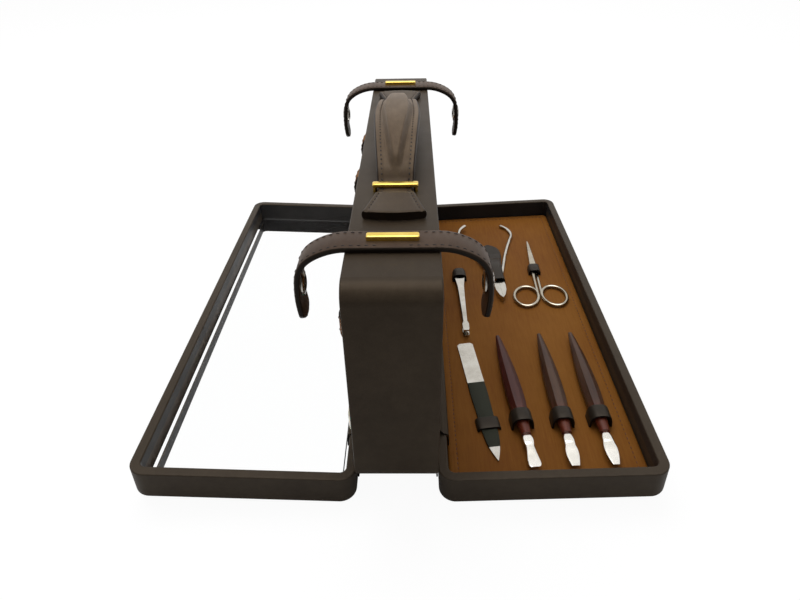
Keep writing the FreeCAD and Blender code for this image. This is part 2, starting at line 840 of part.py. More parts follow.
def make_tray(side, name):
    body = new_body(name)
    outside = sketch_on(body, "XY_Plane")
    rounded_rectangle(outside, size.case_height, size.case_length, size.corner_radius)
    pad(body, outside, size.tray_depth, backwards=True)
    inside = sketch_on(body, "XY_Plane")
    rounded_rectangle(inside, size.case_height - 2 * size.wall, size.case_length - 2 * size.wall,
                      size.inner_corner_radius)
    pocket(body, inside, size.tray_depth - size.tray_floor)
    bottom = -float(size.tray_depth)
    dress(body, "Fillet", lambda edge: level(edge, "Z", bottom), Radius=size.base_round)
    dress(body, "Fillet", lambda edge: level(edge, "Z", 0.0), Radius=size.rim_round)
    holes = sketch_on(body, "XY_Plane")
    for end in (FRONT, REAR):
        circle(holes, stud_place - size.case_height / 2, end * strap_place,
               size.stud_post_radius + size.pin_gap)
    pocket(body, holes, size.tray_depth * 1.5)
    place_in_tray(body, side, size.case_height / 2, as_size(0), as_size(0))
    keep(name, body)


def tray_board(name, side, thickness):
    """A board that lies on a tray's floor, fitted between its walls; its origin is on its top."""
    body = new_body(name)
    inset = size.wall + size.fit_gap
    plan = sketch_on(body, "XY_Plane")
    rounded_rectangle(plan, size.case_height - 2 * inset, size.case_length - 2 * inset,
                      size.inner_corner_radius)
    pad(body, plan, thickness, backwards=True)
    place_in_tray(body, side, size.case_height / 2, as_size(0), floor_top + thickness)
    return body


def make_mirror():
    body = tray_board("mirror", LEFT, size.mirror_thickness)
    dress(body, "Chamfer", lambda edge: level(edge, "Z", 0.0), ChamferType="Two distances",
          Size=size.mirror_bevel_depth, Size2=size.mirror_bevel_width)
    keep("mirror", body)


def make_panel():
    body = tray_board("tool_panel", RIGHT, size.panel_thickness)
    dress(body, "Fillet", lambda edge: level(edge, "Z", 0.0), Radius=size.panel_round)
    keep("tool_panel", body)


# Tools. Each has its tip at its own origin, its length along +Y and the panel under it at Z = 0.

def place_tool(thing, out, back, turn=0.0, lift=0.0):
    """Places a tool by its tip, measured from the hinge and from the front face."""
    return place_in_tray(thing, RIGHT, out, back - size.case_length / 2, panel_top + lift, turn)


def make_loop(name, width, height, band, bevel, out, back, turn=0.0):
    """A leather loop over a tool: straight sides and a roof with bevelled corners."""
    body = new_body(name)
    half = width / 2 + size.slide_gap
    roof = height + size.rest_gap + size.slide_gap
    skin = size.loop_leather
    slope = roof * bevel
    profile = sketch_on(body, "XZ_Plane")
    outline(profile, [
        (-half - skin, 0.0), (-half, 0.0), (-half, roof - slope), (slope - half, roof),
        (half - slope, roof), (half, roof - slope), (half, 0.0), (half + skin, 0.0),
        (half + skin, roof - slope), (half - slope + skin * 0.4, roof + skin),
        (slope - half - skin * 0.4, roof + skin), (-half - skin, roof - slope),
    ])
    pad(body, profile, band, symmetric=True)
    return place_tool(body, out, back, turn)


def make_loops():
    loops = []
    lean = math.radians(float(size.file_turn))
    loops.append(make_loop("loop_file", size.file_width * 0.9, size.file_thickness, size.loop_band,
                           size.loop_bevel, size.file_out - size.file_loop_place * math.sin(lean),
                           size.file_back + size.file_loop_place * math.cos(lean), size.file_turn))
    for number, turn in enumerate(implement_turns):
        lean = math.radians(float(turn))
        out = size.implement_out + number * size.implement_pitch - size.loop_place * math.sin(lean)
        back = size.implement_back + size.loop_place * math.cos(lean)
        loops.append(make_loop(f"loop_implement_{number + 1}", size.implement_width,
                               size.implement_height, size.loop_band, size.loop_bevel, out, back, turn))
    group("tool_loops", loops)


def make_scissors_loop():
    """The soft loop over the scissors' joint, which gives when they open."""
    reach = size.scissors_blade + size.scissors_loop_gap
    lean = math.radians(float(size.scissors_turn))
    height = 2 * size.scissors_plate + size.blade_gap + size.scissors_head
    loop = make_loop("scissors_loop", size.scissors_width + size.fit_gap, height,
                     size.scissors_loop_band, size.scissors_loop_bevel,
                     size.scissors_out - reach * math.sin(lean),
                     scissors_back - reach * math.cos(lean), -size.scissors_turn)
    keep("scissors_loop", loop)


def file_outline(sketch, inset):
    """The file's plan: a pointed tip with curved sides that widens to the shoulders and the tail."""
    half = size.file_width / 2 - inset
    shoulder = half * 0.84
    middle = size.file_length / 2
    end = size.file_length - inset
    corner = size.file_corner
    outline(sketch, [
        (0.0, inset), (shoulder, size.file_shoulder), (half, middle), (half, end - corner),
        (half - corner, end), (corner - half, end), (-half, end - corner), (-half, middle),
        (-shoulder, size.file_shoulder),
    ], {0: size.file_tip_round, 8: size.file_tip_round})


def make_file():
    body = new_body("nail_file")
    plan = sketch_on(body, "XY_Plane")
    file_outline(plan, as_size(0))
    pad(body, plan, size.file_thickness)
    keep("nail_file", place_tool(body, size.file_out, size.file_back, size.file_turn, size.rest_gap))

    grit = new_body("nail_file_abrasive")
    face = sketch_on(grit, "XY_Plane", size.file_thickness)
    file_outline(face, size.fit_gap)
    pad(grit, face, size.abrasive_thickness)
    bare = sketch_on(grit, "XY_Plane", size.file_thickness)
    wide = size.file_width
    tail = size.file_tip_bare + size.file_grit
    outline(bare, [(-wide, -wide), (wide, -wide), (wide, size.file_tip_bare), (-wide, size.file_tip_bare)])
    outline(bare, [(-wide, tail), (wide, tail), (wide, size.file_length + wide),
                   (-wide, size.file_length + wide)])
    pocket(grit, bare, size.abrasive_thickness, backwards=True)
    keep("nail_file_abrasive",
         place_tool(grit, size.file_out, size.file_back, size.file_turn, size.rest_gap))


implement_turns = (size.implement_turn, as_size(0.0), as_size(0.0))
IMPLEMENT_BLADES = {
    # half widths of each blade, by share of its length from the tip
    "straight": ((0.0, 1.6), (0.07, 2.5), (0.3, 2.3), (0.6, 2.1), (0.72, 2.5), (0.9, 2.2), (1.0, 1.5)),
    "wavy": ((0.0, 1.9), (0.3, 3.2), (0.5, 3.1), (0.62, 2.7), (0.75, 2.8), (0.9, 2.2), (1.0, 1.5)),
    "leaf": ((0.0, 1.4), (0.25, 2.9), (0.5, 3.3), (0.68, 2.9), (0.85, 2.6), (0.95, 1.9), (1.0, 1.4)),
}
# share of the handle's length from the blade, share of its full width, share of its full height
IMPLEMENT_HANDLE = ((0.0, 0.42, 0.42), (0.085, 0.52, 0.52), (0.13, 0.92, 0.9), (0.18, 1.0, 1.0),
                    (0.46, 0.86, 0.84), (0.74, 0.57, 0.58), (0.985, 0.26, 0.28), (1.0, 0.14, 0.16))


def make_implements():
    """Manicure tools: a faceted handle that narrows to a neck, and a flat steel blade."""
    for number, (name, halves) in enumerate(IMPLEMENT_BLADES.items(), start=1):
        blade_end = float(size.implement_blade)
        length = float(size.implement_length) - blade_end
        rings = []
        for share, wide, tall in IMPLEMENT_HANDLE:
            half = float(size.implement_width) * wide / 2
            rise = float(size.implement_height) * tall / 2
            top = half * 0.5
            side = rise * 0.35
            y = blade_end + length * share
            rings.append(polygon([(top, y, rise), (half, y, side), (half, y, -side), (top, y, -rise),
                                  (-top, y, -rise), (-half, y, -side), (-half, y, side),
                                  (-top, y, rise)]))
        handle = solid(f"implement_{number}_handle", Part.makeLoft(rings, True, True))
        keep(handle.Name, place_implement(handle, number))

        blade = new_body(f"implement_{number}_blade")
        plan = sketch_on(blade, "XY_Plane")
        right = [(as_size(half), size.implement_blade * share) for share, half in halves]
        outline(plan, right + [(-x, y) for x, y in reversed(right)])
        pad(blade, plan, size.blade_thickness, symmetric=True)
        keep(blade.Name, place_implement(blade, number))


def place_implement(thing, number):
    out = size.implement_out + (number - 1) * size.implement_pitch
    lift = size.implement_height / 2 + size.rest_gap
    return place_tool(thing, out, size.implement_back, implement_turns[number - 1], lift)


def make_tweezers():
    """Two sprung arms, one over the other, welded at the wide end that the cap holds."""
    length = float(size.tweezers_length)
    half = float(size.tweezers_width) / 2
    arm = float(size.tweezers_arm)
    gap = float(size.tweezers_gap)
    weld = float(size.tweezers_weld)
    widths = ((0.0, 0.48), (0.02, 0.58), (0.09, 0.62), (0.12, 0.36), (0.24, 0.4), (0.5, 0.52),
              (0.68, 0.64), (0.84, 1.0), (1.0, 1.0))
    right = [(half * wide, length * share, -gap) for share, wide in widths]
    plan = prism(right + [(-x, y, z) for x, y, z in reversed(right)], (0, 0, 3 * gap))
    # the gap between the arms, by share of the length from the tips
    spread = ((0.0, gap * 0.9), (0.25, gap), (0.6, gap * 0.75), (0.88, weld), (1.0, weld))
    for hand, name in ((1, "tweezers_upper_arm"), (-1, "tweezers_lower_arm")):
        middle = gap / 2 + arm
        inner = [(-half, length * share, middle + hand * opening / 2) for share, opening in spread]
        outer = [(x, y, z + hand * arm) for x, y, z in reversed(inner)]
        shape = prism(inner + outer, (2 * half, 0, 0)).common(plan)
        if hand < 0:
            block = Part.makeBox(2 * half, length * 0.07, weld - 0.02,
                                 Vector(-half, length * 0.93, middle - weld / 2))
            shape = shape.fuse(block).removeSplitter()
        thing = solid(name, shape)
        keep(name, place_tool(thing, size.tweezers_out, tweezers_back, 0.0, size.rest_gap))


def make_tweezers_cap():
    """The leather cap that the tweezers' wide end slides into."""
    body = new_body("tweezers_cap")
    depth = size.tweezers_cap_depth
    side_room = 2 * size.slide_gap
    half = size.tweezers_width / 2 + side_room
    skin = size.loop_leather
    middle = size.rest_gap + size.tweezers_gap / 2 + size.tweezers_arm
    room = size.tweezers_arm + size.tweezers_weld / 2 + 2 * size.slide_gap
    plan = sketch_on(body, "XY_Plane")
    corner = half * 0.6
    outline(plan, [(-half - skin, 0.0), (half + skin, 0.0), (half + skin, depth + side_room - corner),
                   (half + skin - corner, depth + side_room + skin),
                   (corner - half - skin, depth + side_room + skin),
                   (-half - skin, depth + side_room - corner)])
    pad(body, plan, middle + room + skin)
    hollow = sketch_on(body, "XZ_Plane")
    outline(hollow, [(-half, middle - room), (half, middle - room),
                     (half, middle + room), (-half, middle + room)])
    pocket(body, hollow, depth + side_room)
    mouth = tweezers_back + size.tweezers_length - depth
    keep("tweezers_cap", place_tool(body, size.tweezers_out, mouth))


def tangent_arc(start, heading, end):
    """The arc from start to end that leaves start along heading, and its heading at the end."""
    chord = end - start
    chord_angle = math.atan2(chord.y, chord.x)
    turn = 2 * (chord_angle - math.atan2(heading.y, heading.x))
    turn = math.remainder(turn, 2 * math.pi)
    middle_angle = chord_angle - turn / 2 + turn / 4
    reach = chord.Length / 2 / math.cos(turn / 4)
    middle = start + Vector(math.cos(middle_angle), math.sin(middle_angle), 0) * reach
    arrival = math.atan2(heading.y, heading.x) + turn
    return Part.Arc(start, middle, end).toShape(), Vector(math.cos(arrival), math.sin(arrival), 0)


def rod(points, heading, radius):
    """A round rod along tangent arcs through the points."""
    edges = []
    for start, end in zip(points, points[1:]):
        arc, leave = tangent_arc(start, heading, end)
        edges.append(arc)
        if len(edges) == 1:
            first_heading = heading
        heading = leave
    spine = Part.Wire(edges)
    ring = Part.Wire(Part.makeCircle(radius, points[0], first_heading))
    return spine.makePipeShell([ring], True, True)


# the curve of a nipper handle: shares of half the span, and of the length from the jaws' tip
NIPPER_HANDLE = ((0.14, 0.25), (0.48, 0.5), (1.0, 0.8), (0.74, 0.99))


def make_nippers():
    """Two halves that cross at the screw: curved handle on one side, jaw on the other."""
    length = float(size.nippers_length)
    reach = float(size.nippers_span) / 2
    plate = float(size.nippers_plate)
    rod_radius = float(size.nippers_rod)
    lap = float(size.nippers_lap_radius)
    jaw_length = float(size.nippers_jaw)
    jaw_half = float(size.nippers_jaw_width) / 2
    gap = float(size.blade_gap)
    shoulder = jaw_length - lap * 1.5
    for hand, name in ((1, "nippers_lower_half"), (-1, "nippers_upper_half")):
        low = 0.0 if hand > 0 else plate + gap
        middle = low + plate / 2
        points = [Vector(hand * reach * wide, length * share, middle) for wide, share in NIPPER_HANDLE]
        handle = rod(points, Vector(hand * 0.25, 1, 0).normalize(), rod_radius)
        disc = Part.makeCylinder(lap, plate, Vector(0, jaw_length, low))
        split = -hand * gap / 2
        root = prism([(-lap * 0.8 * hand, shoulder - 1, low), (split, shoulder - 1, low),
                      (split, shoulder + gap, low), (lap * 0.9 * hand, jaw_length, low),
                      (hand * (reach * 0.14 + rod_radius + 1.2), length * 0.29, low),
                      (hand * (reach * 0.14 - rod_radius), length * 0.29, low),
                      (-lap * 0.9 * hand, jaw_length, low)], (0, 0, plate))
        jaw = prism([(split, 0.0, 0.0), (-hand * jaw_half * 0.5, jaw_length * 0.12, 0.0),
                     (-hand * jaw_half * 0.92, jaw_length * 0.36, 0.0),
                     (-hand * jaw_half, jaw_length * 0.6, 0.0), (-hand * lap * 0.8, shoulder, 0.0),
                     (split, shoulder, 0.0)], (0, 0, 2 * plate + gap))
        half = handle.common(Part.makeBox(4 * reach, length, plate, Vector(-2 * reach, 0, low)))
        half = half.fuse([disc, root, jaw])
        half = half.cut(Part.makeCylinder(lap + gap, plate + gap, Vector(0, jaw_length, plate - low)))
        bore = float(size.nippers_screw_radius + size.pin_gap)
        half = half.cut(Part.makeCylinder(bore, 3 * plate, Vector(0, jaw_length, -plate / 2)))
        thing = solid(name, half.removeSplitter())
        keep(name, place_nippers(thing))
    top = Vector(0, jaw_length, 2 * plate + gap)
    stem = Part.makeCylinder(float(size.nippers_screw_radius), 2 * plate + gap, Vector(0, jaw_length, 0))
    head_radius = float(size.nippers_head_radius)
    head = Part.makeCylinder(head_radius, float(size.nippers_head), top)
    slot = Part.makeBox(2 * head_radius, head_radius / 4, float(size.nippers_head),
                        top + Vector(-head_radius, -head_radius / 8, float(size.nippers_head) / 2))
    screw = solid("nippers_screw", stem.fuse(head).cut(slot).removeSplitter())
    keep("nippers_screw", place_nippers(screw))


def place_nippers(thing):
    return place_tool(thing, size.nippers_out, nippers_back, size.nippers_turn, size.rest_gap)


def make_nipper_flap():
    """The leather flap over the nippers: sewn down between the handles, raised over the screw."""
    skin = float(size.flap_leather)
    roof = float(2 * size.nippers_plate + size.blade_gap + size.nippers_head + size.rest_gap
                 + size.slide_gap)
    lap = float(size.nippers_lap_radius)
    screw = float(size.nippers_jaw)
    near = screw - lap * 1.55
    bridge = screw + lap * 3.6
    down = bridge + roof * 2.4
    end = float(size.flap_end)
    side = lap + 2 * float(size.slide_gap)
    half = float(size.flap_width) / 2
    right = [Vector(side + skin, near, -1), Vector(side + skin, bridge + lap, -1),
             Vector(half, down + lap, -1), Vector(half, end - half * 0.8, -1)]
    left = [Vector(-point.x, point.y, point.z) for point in reversed(right)]
    corners = right + left
    edges = [Part.LineSegment(corners[index], corners[index + 1]).toShape() for index in (0, 1, 2)]
    edges.append(Part.Arc(right[-1], Vector(0, end, -1), left[0]).toShape())
    edges += [Part.LineSegment(corners[index], corners[index + 1]).toShape() for index in (4, 5, 6)]
    edges.append(Part.LineSegment(left[-1], right[0]).toShape())
    plan = Part.Face(Part.Wire(edges)).extrude(Vector(0, 0, roof + 4))
    low = [(-half, near, roof), (-half, bridge, roof), (-half, down, 0.0), (-half, end + 1, 0.0)]
    high = [(x, y, z + skin) for x, y, z in reversed(low)]
    thing = solid("nippers_flap", prism(low + high, (2 * half, 0, 0)).common(plan))
    keep("nippers_flap", place_tool(thing, size.nippers_out, nippers_back, size.nippers_turn))


def oval_ring(width, length, wire, centre, turn):
    """An oval finger ring of round wire, made of four tangent arcs."""
    wide = width / 2
    tall = length / 2
    small = wide * 0.72
    flat = (tall ** 2 + wide ** 2 - 2 * small * tall) / (2 * (wide - small))
    lift = tall - small
    inward = flat - wide
    share = small / math.hypot(lift, inward)
    joints = []
    for sx, sy in ((1, -1), (1, 1), (-1, 1), (-1, -1)):
        direction = Vector(sx * inward, sy * lift, 0)
        joints.append(Vector(0, sy * lift, 0) + Vector(direction.x, direction.y, 0) * share)
    middles = [Vector(wide, 0, 0), Vector(0, tall, 0), Vector(-wide, 0, 0), Vector(0, -tall, 0)]
    edges = []
    for index, middle in enumerate(middles):
        edges.append(Part.Arc(joints[index], middle, joints[(index + 1) % 4]).toShape())
    spine = Part.Wire(edges)
    start = edges[0]
    heading = start.tangentAt(start.FirstParameter)
    profile = Part.Wire(Part.makeCircle(wire, joints[0], heading))
    ring = spine.makePipeShell([profile], True, True)
    ring.rotate(Vector(0, 0, 0), Vector(0, 0, 1), turn)
    ring.translate(centre)
    return ring


def make_scissors():
    """Two halves that cross at the screw; blade tips lie at the back, rings at the front."""
    length = float(size.scissors_length)
    plate = float(size.scissors_plate)
    wire = float(size.scissors_wire)
    wide = float(size.scissors_ring_width)
    tall = float(size.scissors_ring_length)
    half_width = float(size.scissors_width) / 2
    screw_y = -float(size.scissors_blade)
    gap = float(size.blade_gap)
    ring_y = wire + tall / 2 - length
    inner = gap * 2
    for hand, name in ((1, "scissors_lower_half"), (-1, "scissors_upper_half")):
        low = 0.0 if hand > 0 else plate + gap
        centre = Vector(hand * (wide / 2 + wire + inner), ring_y, plate + gap / 2)
        ring = oval_ring(wide, tall, wire, centre, hand * float(size.scissors_ring_turn))
        blade = prism([(0.0, 0.0, low), (half_width * 0.35, screw_y * 0.15, low),
                       (half_width * 0.75, screw_y * 0.7, low), (half_width * 0.95, screw_y, low),
                       (-half_width * 0.95, screw_y, low), (-half_width * 0.75, screw_y * 0.7, low),
                       (-half_width * 0.35, screw_y * 0.15, low)], (0, 0, plate))
        hub = Part.makeCylinder(half_width, plate, Vector(0, screw_y, low))
        cross = screw_y - half_width * 2
        join = ring_y + tall * 0.28
        shank = prism([(-half_width * 0.6 * hand, screw_y, low), (half_width * hand, screw_y, low),
                       (half_width * 0.9 * hand, join, low), (inner * hand, join, low),
                       (inner * hand, cross, low)], (0, 0, plate))
        foot = prism([(inner * hand, join - 4, plate - low), (half_width * 0.9 * hand, join - 4, plate - low),
                      (half_width * 0.9 * hand, join + 2, plate - low),
                      (inner * hand, join + 2, plate - low)], (0, 0, plate + gap))
        bore = float(size.scissors_screw_radius + size.pin_gap)
        hole = Part.makeCylinder(bore, 6 * plate, Vector(0, screw_y, -2 * plate))
        half = ring.fuse([blade, hub, shank, foot]).cut(hole).removeSplitter()
        thing = solid(name, half)
        keep(name, place_scissors(thing))
    top = 2 * plate + gap
    stem = Part.makeCylinder(float(size.scissors_screw_radius), top, Vector(0, screw_y, 0))
    head = Part.makeCylinder(float(size.scissors_head_radius), float(size.scissors_head),
                             Vector(0, screw_y, top))
    screw = solid("scissors_screw", stem.fuse(head).removeSplitter())
    keep("scissors_screw", place_scissors(screw))


def place_scissors(thing):
    return place_tool(thing, size.scissors_out, scissors_back, -size.scissors_turn, size.rest_gap)


# Contents of the left compartment

def make_tube():
    """A clear toothbrush tube and its cap, lying along the top of the compartment."""
    body = new_body("toothbrush_tube")
    profile = sketch_on(body, "XY_Plane")
    outer = size.tube_radius
    inner = size.tube_radius - size.tube_wall
    neck = size.tube_length - size.tube_cap_length
    bevel = size.tube_bevel
    outline(profile, [(0.0, 0.0), (outer - bevel, 0.0), (outer, bevel), (outer, neck),
                      (inner, neck), (inner, bevel), (0.0, bevel)])
    revolve(body, profile)
    keep("toothbrush_tube", place(body, tube_out, tube_start, tube_height))
    cap = new_body("toothbrush_tube_cap")
    profile = sketch_on(cap, "XY_Plane")
    start = neck + size.rest_gap
    end = size.tube_length
    outline(profile, [(inner, start), (outer, start), (outer, end - bevel), (outer - bevel, end),
                      (0.0, end), (0.0, end - bevel), (inner, end - bevel)])
    revolve(cap, profile)
    keep("toothbrush_tube_cap", place(cap, tube_out, tube_start, tube_height))


def make_bottles():
    """Two clear bottles with screw caps, standing on the compartment's floor."""
    radius = size.bottle_radius
    grip = size.bottle_cap_radius
    neck = grip - size.bottle_lip
    foot = size.bottle_foot
    bore = neck + size.pin_gap
    neck_top = bottle_height + size.bottle_neck
    skirt = bottle_height + size.fit_gap
    top = skirt + size.bottle_cap_height
    for number, where in ((0, "front"), (1, "rear")):
        y = bottle_place + number * bottle_pitch
        body = new_body("bottle_" + where)
        profile = sketch_on(body, "XZ_Plane")
        outline(profile, [(0.0, 0.0), (radius - foot, 0.0), (radius, foot),
                          (radius, bottle_height - size.bottle_shoulder), (neck, bottle_height),
                          (neck, neck_top), (0.0, neck_top)])
        revolve(body, profile)
        keep("bottle_" + where, place(body, bottle_out, y, contents_floor))
        cap = new_body("bottle_cap_" + where)
        profile = sketch_on(cap, "XZ_Plane")
        outline(profile, [(bore, skirt), (grip, skirt), (grip, top - size.bottle_cap_bevel),
                          (grip - size.bottle_cap_bevel, top), (0.0, top),
                          (0.0, neck_top + size.fit_gap), (bore, neck_top + size.fit_gap)])
        revolve(cap, profile)
        keep("bottle_cap_" + where, place(cap, bottle_out, y, contents_floor))


def make_shaving_brush():
    """A shaving brush stowed with its bristles down, above the nail brush."""
    radius = size.shaving_brush_radius
    knot = size.shaving_brush_knot
    top = size.shaving_brush_height
    shoulder = knot + size.shaving_brush_shoulder
    handle = new_body("shaving_brush_handle")
    profile = sketch_on(handle, "XZ_Plane")
    outline(profile, [(0.0, knot), (radius * 0.8, knot), (radius * 0.86, knot * 1.25),
                      (radius * 0.6, knot + size.shaving_brush_groove), (radius, shoulder),
                      (radius, top - size.shaving_brush_bevel), (radius * 0.8, top), (0.0, top)])
    revolve(handle, profile)
    keep("shaving_brush_handle", place(handle, shaving_out, shaving_along, shaving_brush_foot))
    bristles = new_body("shaving_brush_bristles")
    profile = sketch_on(bristles, "XZ_Plane")
    outline(profile, [(0.0, 0.0), (radius * 0.6, knot * 0.04), (radius, knot * 0.2),
                      (radius * 1.1, knot * 0.4), (radius * 0.75, knot), (0.0, knot)])
    revolve(bristles, profile)
    keep("shaving_brush_bristles", place(bristles, shaving_out, shaving_along, shaving_brush_foot))


def make_nail_brush():
    x = (size.nail_brush_width - size.body_width) / 2 - size.brush_overhang
    y = nail_brush_end - size.nail_brush_length / 2
    back = new_body("nail_brush_back")
    plan = sketch_on(back, "XY_Plane", size.nail_brush_tuft)
    rounded_rectangle(plan, size.nail_brush_width, size.nail_brush_length, size.nail_brush_corner)
    pad(back, plan, size.nail_brush_back)
    top = float(size.nail_brush_tuft + size.nail_brush_back)
    dress(back, "Fillet", lambda edge: level(edge, "Z", top), Radius=size.nail_brush_round)
    keep("nail_brush_back", place(back, x, y, contents_floor))
    bristles = new_body("nail_brush_bristles")
    plan = sketch_on(bristles, "XY_Plane")
    rounded_rectangle(plan, size.nail_brush_width - 2 * size.tuft_inset,
                      size.nail_brush_length - 2 * size.tuft_inset,
                      size.nail_brush_corner - size.tuft_inset)
    pad(bristles, plan, size.nail_brush_tuft)
    keep("nail_brush_bristles", place(bristles, x, y, contents_floor))


def make_hair_brush():
    """An oval brush that stands on edge, its bristles against the partition."""
    y = hair_brush_start + hair_brush_length / 2
    z = contents_floor + hair_brush_width / 2
    tuft = size.hair_brush_tuft
    start = size.partition_place - size.fit_gap
    back = new_body("hair_brush_back")
    plan = sketch_on(back, "YZ_Plane", -tuft)
    rounded_rectangle(plan, hair_brush_length, hair_brush_width, hair_brush_width * 0.46)
    pad(back, plan, size.hair_brush_back, backwards=True)
    face = -float(tuft + size.hair_brush_back)
    dress(back, "Fillet", lambda edge: level(edge, "X", face), Radius=size.hair_brush_round)
    keep("hair_brush_back", place(back, start, y, z))
    bristles = new_body("hair_brush_bristles")
    plan = sketch_on(bristles, "YZ_Plane")
    inset = 2 * size.hair_tuft_inset
    rounded_rectangle(plan, hair_brush_length - inset, hair_brush_width - inset, hair_brush_width * 0.36)
    pad(bristles, plan, tuft, backwards=True)
    keep("hair_brush_bristles", place(bristles, start, y, z))


def band(name, depth, width, role, height):
    """A leather band from the partition round one thing: a U of two sides and a front."""
    body = new_body(name)
    profile = sketch_on(body, role)
    skin = size.retainer_leather
    half = width / 2
    inner = size.retainer_bevel
    outer = inner - skin * 0.4
    outline(profile, [
        (0.0, -half - skin), (0.0, -half), (inner - depth, -half), (-depth, inner - half),
        (-depth, half - inner), (inner - depth, half), (0.0, half), (0.0, half + skin),
        (outer - depth, half + skin), (-depth - skin, half - outer), (-depth - skin, outer - half),
        (outer - depth, -half - skin),
    ])
    pad(body, profile, height, symmetric=True)
    return body


def make_retainers():
    """The bands on the partition that hold the contents."""
    gap = size.slide_gap
    anchor = size.partition_place
    bands = []
    depth = anchor - tube_out + size.tube_radius + gap
    for share in (0.18, 0.52):
        piece = band(f"retainer_tube_{len(bands)}", depth, 2 * (size.tube_radius + gap), "XZ_Plane",
                     size.retainer_band)
        bands.append(place(piece, anchor, tube_start + share * size.tube_length, tube_height))
    depth = anchor - bottle_out + size.bottle_radius + gap
    for number in (0, 1):
        piece = band(f"retainer_bottle_{len(bands)}", depth, 2 * (size.bottle_radius + gap), "XY_Plane",
                     size.retainer_band)
        bands.append(place(piece, anchor, bottle_place + number * bottle_pitch,
                           cavity_floor + size.bottle_band_height))
    piece = band("retainer_shaving_brush", anchor - shaving_out + size.shaving_brush_radius + gap,
                 2 * (size.shaving_brush_radius + gap), "XY_Plane", size.retainer_band * 0.8)
    bands.append(place(piece, anchor, shaving_along,
                       shaving_brush_foot + size.shaving_brush_height - size.shaving_band_drop))
    group("retainers", bands)


make_body_shell()
make_body_lining()
make_partition()
make_hinge_leathers()
make_gussets()
make_straps()
make_bars()
make_handle()
make_tray(LEFT, "left_tray_shell")
make_mirror()
make_studs(LEFT, "left_snap_studs")
make_tray(RIGHT, "right_tray_shell")
make_panel()
make_studs(RIGHT, "right_snap_studs")
make_loops()
make_scissors_loop()
make_file()
make_implements()
make_tweezers()
make_tweezers_cap()
make_nippers()
make_nipper_flap()
make_scissors()
make_tube()
make_bottles()
make_shaving_brush()
make_nail_brush()
make_hair_brush()
make_retainers()
doc.recompute()

# Check every object, then write the sub-parts
for thing in doc.Objects:
    if "Invalid" in thing.State or "Error" in thing.State:
        raise RuntimeError(f"{thing.Label} failed: {thing.State}")
os.makedirs("parts", exist_ok=True)
for name, thing in nodes:
    shape = thing.Shape
    if shape.isNull() or not shape.isValid() or not shape.Solids:
        raise RuntimeError(f"{name}: shape is not a valid solid")
for name, thing in nodes:
    thing.Shape.exportStep(f"parts/{name}.step")
    print(f"{name}: {len(thing.Shape.Solids)} solid(s), {thing.Shape.Volume:.1f} mm3")
print(len(nodes), "sub-parts")
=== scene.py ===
import json
import math
import random

import bmesh
import bpy
from mathutils import Matrix, Vector, noise


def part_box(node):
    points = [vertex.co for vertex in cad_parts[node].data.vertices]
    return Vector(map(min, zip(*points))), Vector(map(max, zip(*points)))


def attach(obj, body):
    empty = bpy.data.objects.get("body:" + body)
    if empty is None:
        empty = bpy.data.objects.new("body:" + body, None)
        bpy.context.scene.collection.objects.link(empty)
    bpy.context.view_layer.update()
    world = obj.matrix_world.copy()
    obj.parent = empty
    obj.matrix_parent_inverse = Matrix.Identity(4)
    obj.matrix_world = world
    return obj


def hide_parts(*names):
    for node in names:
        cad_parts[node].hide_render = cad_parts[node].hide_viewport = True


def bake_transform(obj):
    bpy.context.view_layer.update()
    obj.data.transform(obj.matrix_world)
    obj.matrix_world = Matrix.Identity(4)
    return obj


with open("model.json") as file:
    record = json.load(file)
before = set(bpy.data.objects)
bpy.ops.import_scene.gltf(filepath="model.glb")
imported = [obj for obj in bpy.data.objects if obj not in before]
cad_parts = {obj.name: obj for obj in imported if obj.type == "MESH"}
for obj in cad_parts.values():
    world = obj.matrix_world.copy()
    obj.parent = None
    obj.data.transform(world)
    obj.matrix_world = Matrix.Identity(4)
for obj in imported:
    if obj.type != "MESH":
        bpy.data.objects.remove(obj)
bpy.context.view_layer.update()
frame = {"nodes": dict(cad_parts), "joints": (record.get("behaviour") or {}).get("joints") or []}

# A hard leather toiletry case, standing open, with its tools and contents. Lengths in this script are
# in millimetres, and each mesh is brought to metres when its object is made.
MM = 0.001
JOINTS = {joint["name"]: joint for joint in frame["joints"]}
NODES = frame["nodes"]
LEFT = -1
RIGHT = 1
FRONT = -1
REAR = 1
SIDES = ((LEFT, "left"), (RIGHT, "right"))
ENDS = ((FRONT, "front"), (REAR, "rear"))

# Places taken from the frame
HINGE_OUT = JOINTS["right_tray_fold"]["pos_m"][0] / MM
HINGE_UP = JOINTS["right_tray_fold"]["pos_m"][2] / MM
TILT = math.radians(90 - JOINTS["right_tray_fold"]["range_deg"][1])
BODY_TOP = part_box("body_shell")[1].z / MM
HALF_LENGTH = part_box("body_shell")[1].y / MM
STRAP_ALONG = JOINTS["strap_rear_left_lift"]["pos_m"][1] / MM
BAR_DEPTH = 4.0
KEEPER_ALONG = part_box("handle_keepers")[1].y / MM - BAR_DEPTH / 2

# The right tray's own axes: out from the hinge, along the case, up from the rim
TRAY = Matrix((
    (math.cos(TILT), 0, -math.sin(TILT), HINGE_OUT),
    (0, 1, 0, 0),
    (math.sin(TILT), 0, math.cos(TILT), HINGE_UP),
    (0, 0, 0, 1),
))


def node_points(nodes, matrix):
    """The corners of some CAD nodes' vertices in the axes of a matrix, in millimetres."""
    back = matrix.inverted()
    points = [back @ (vertex.co / MM) for name in nodes for vertex in NODES[name].data.vertices]
    low = Vector([min(point[axis] for point in points) for axis in range(3)])
    high = Vector([max(point[axis] for point in points) for axis in range(3)])
    return low, high


PANEL_LOW, PANEL_HIGH = node_points(["tool_panel"], TRAY)


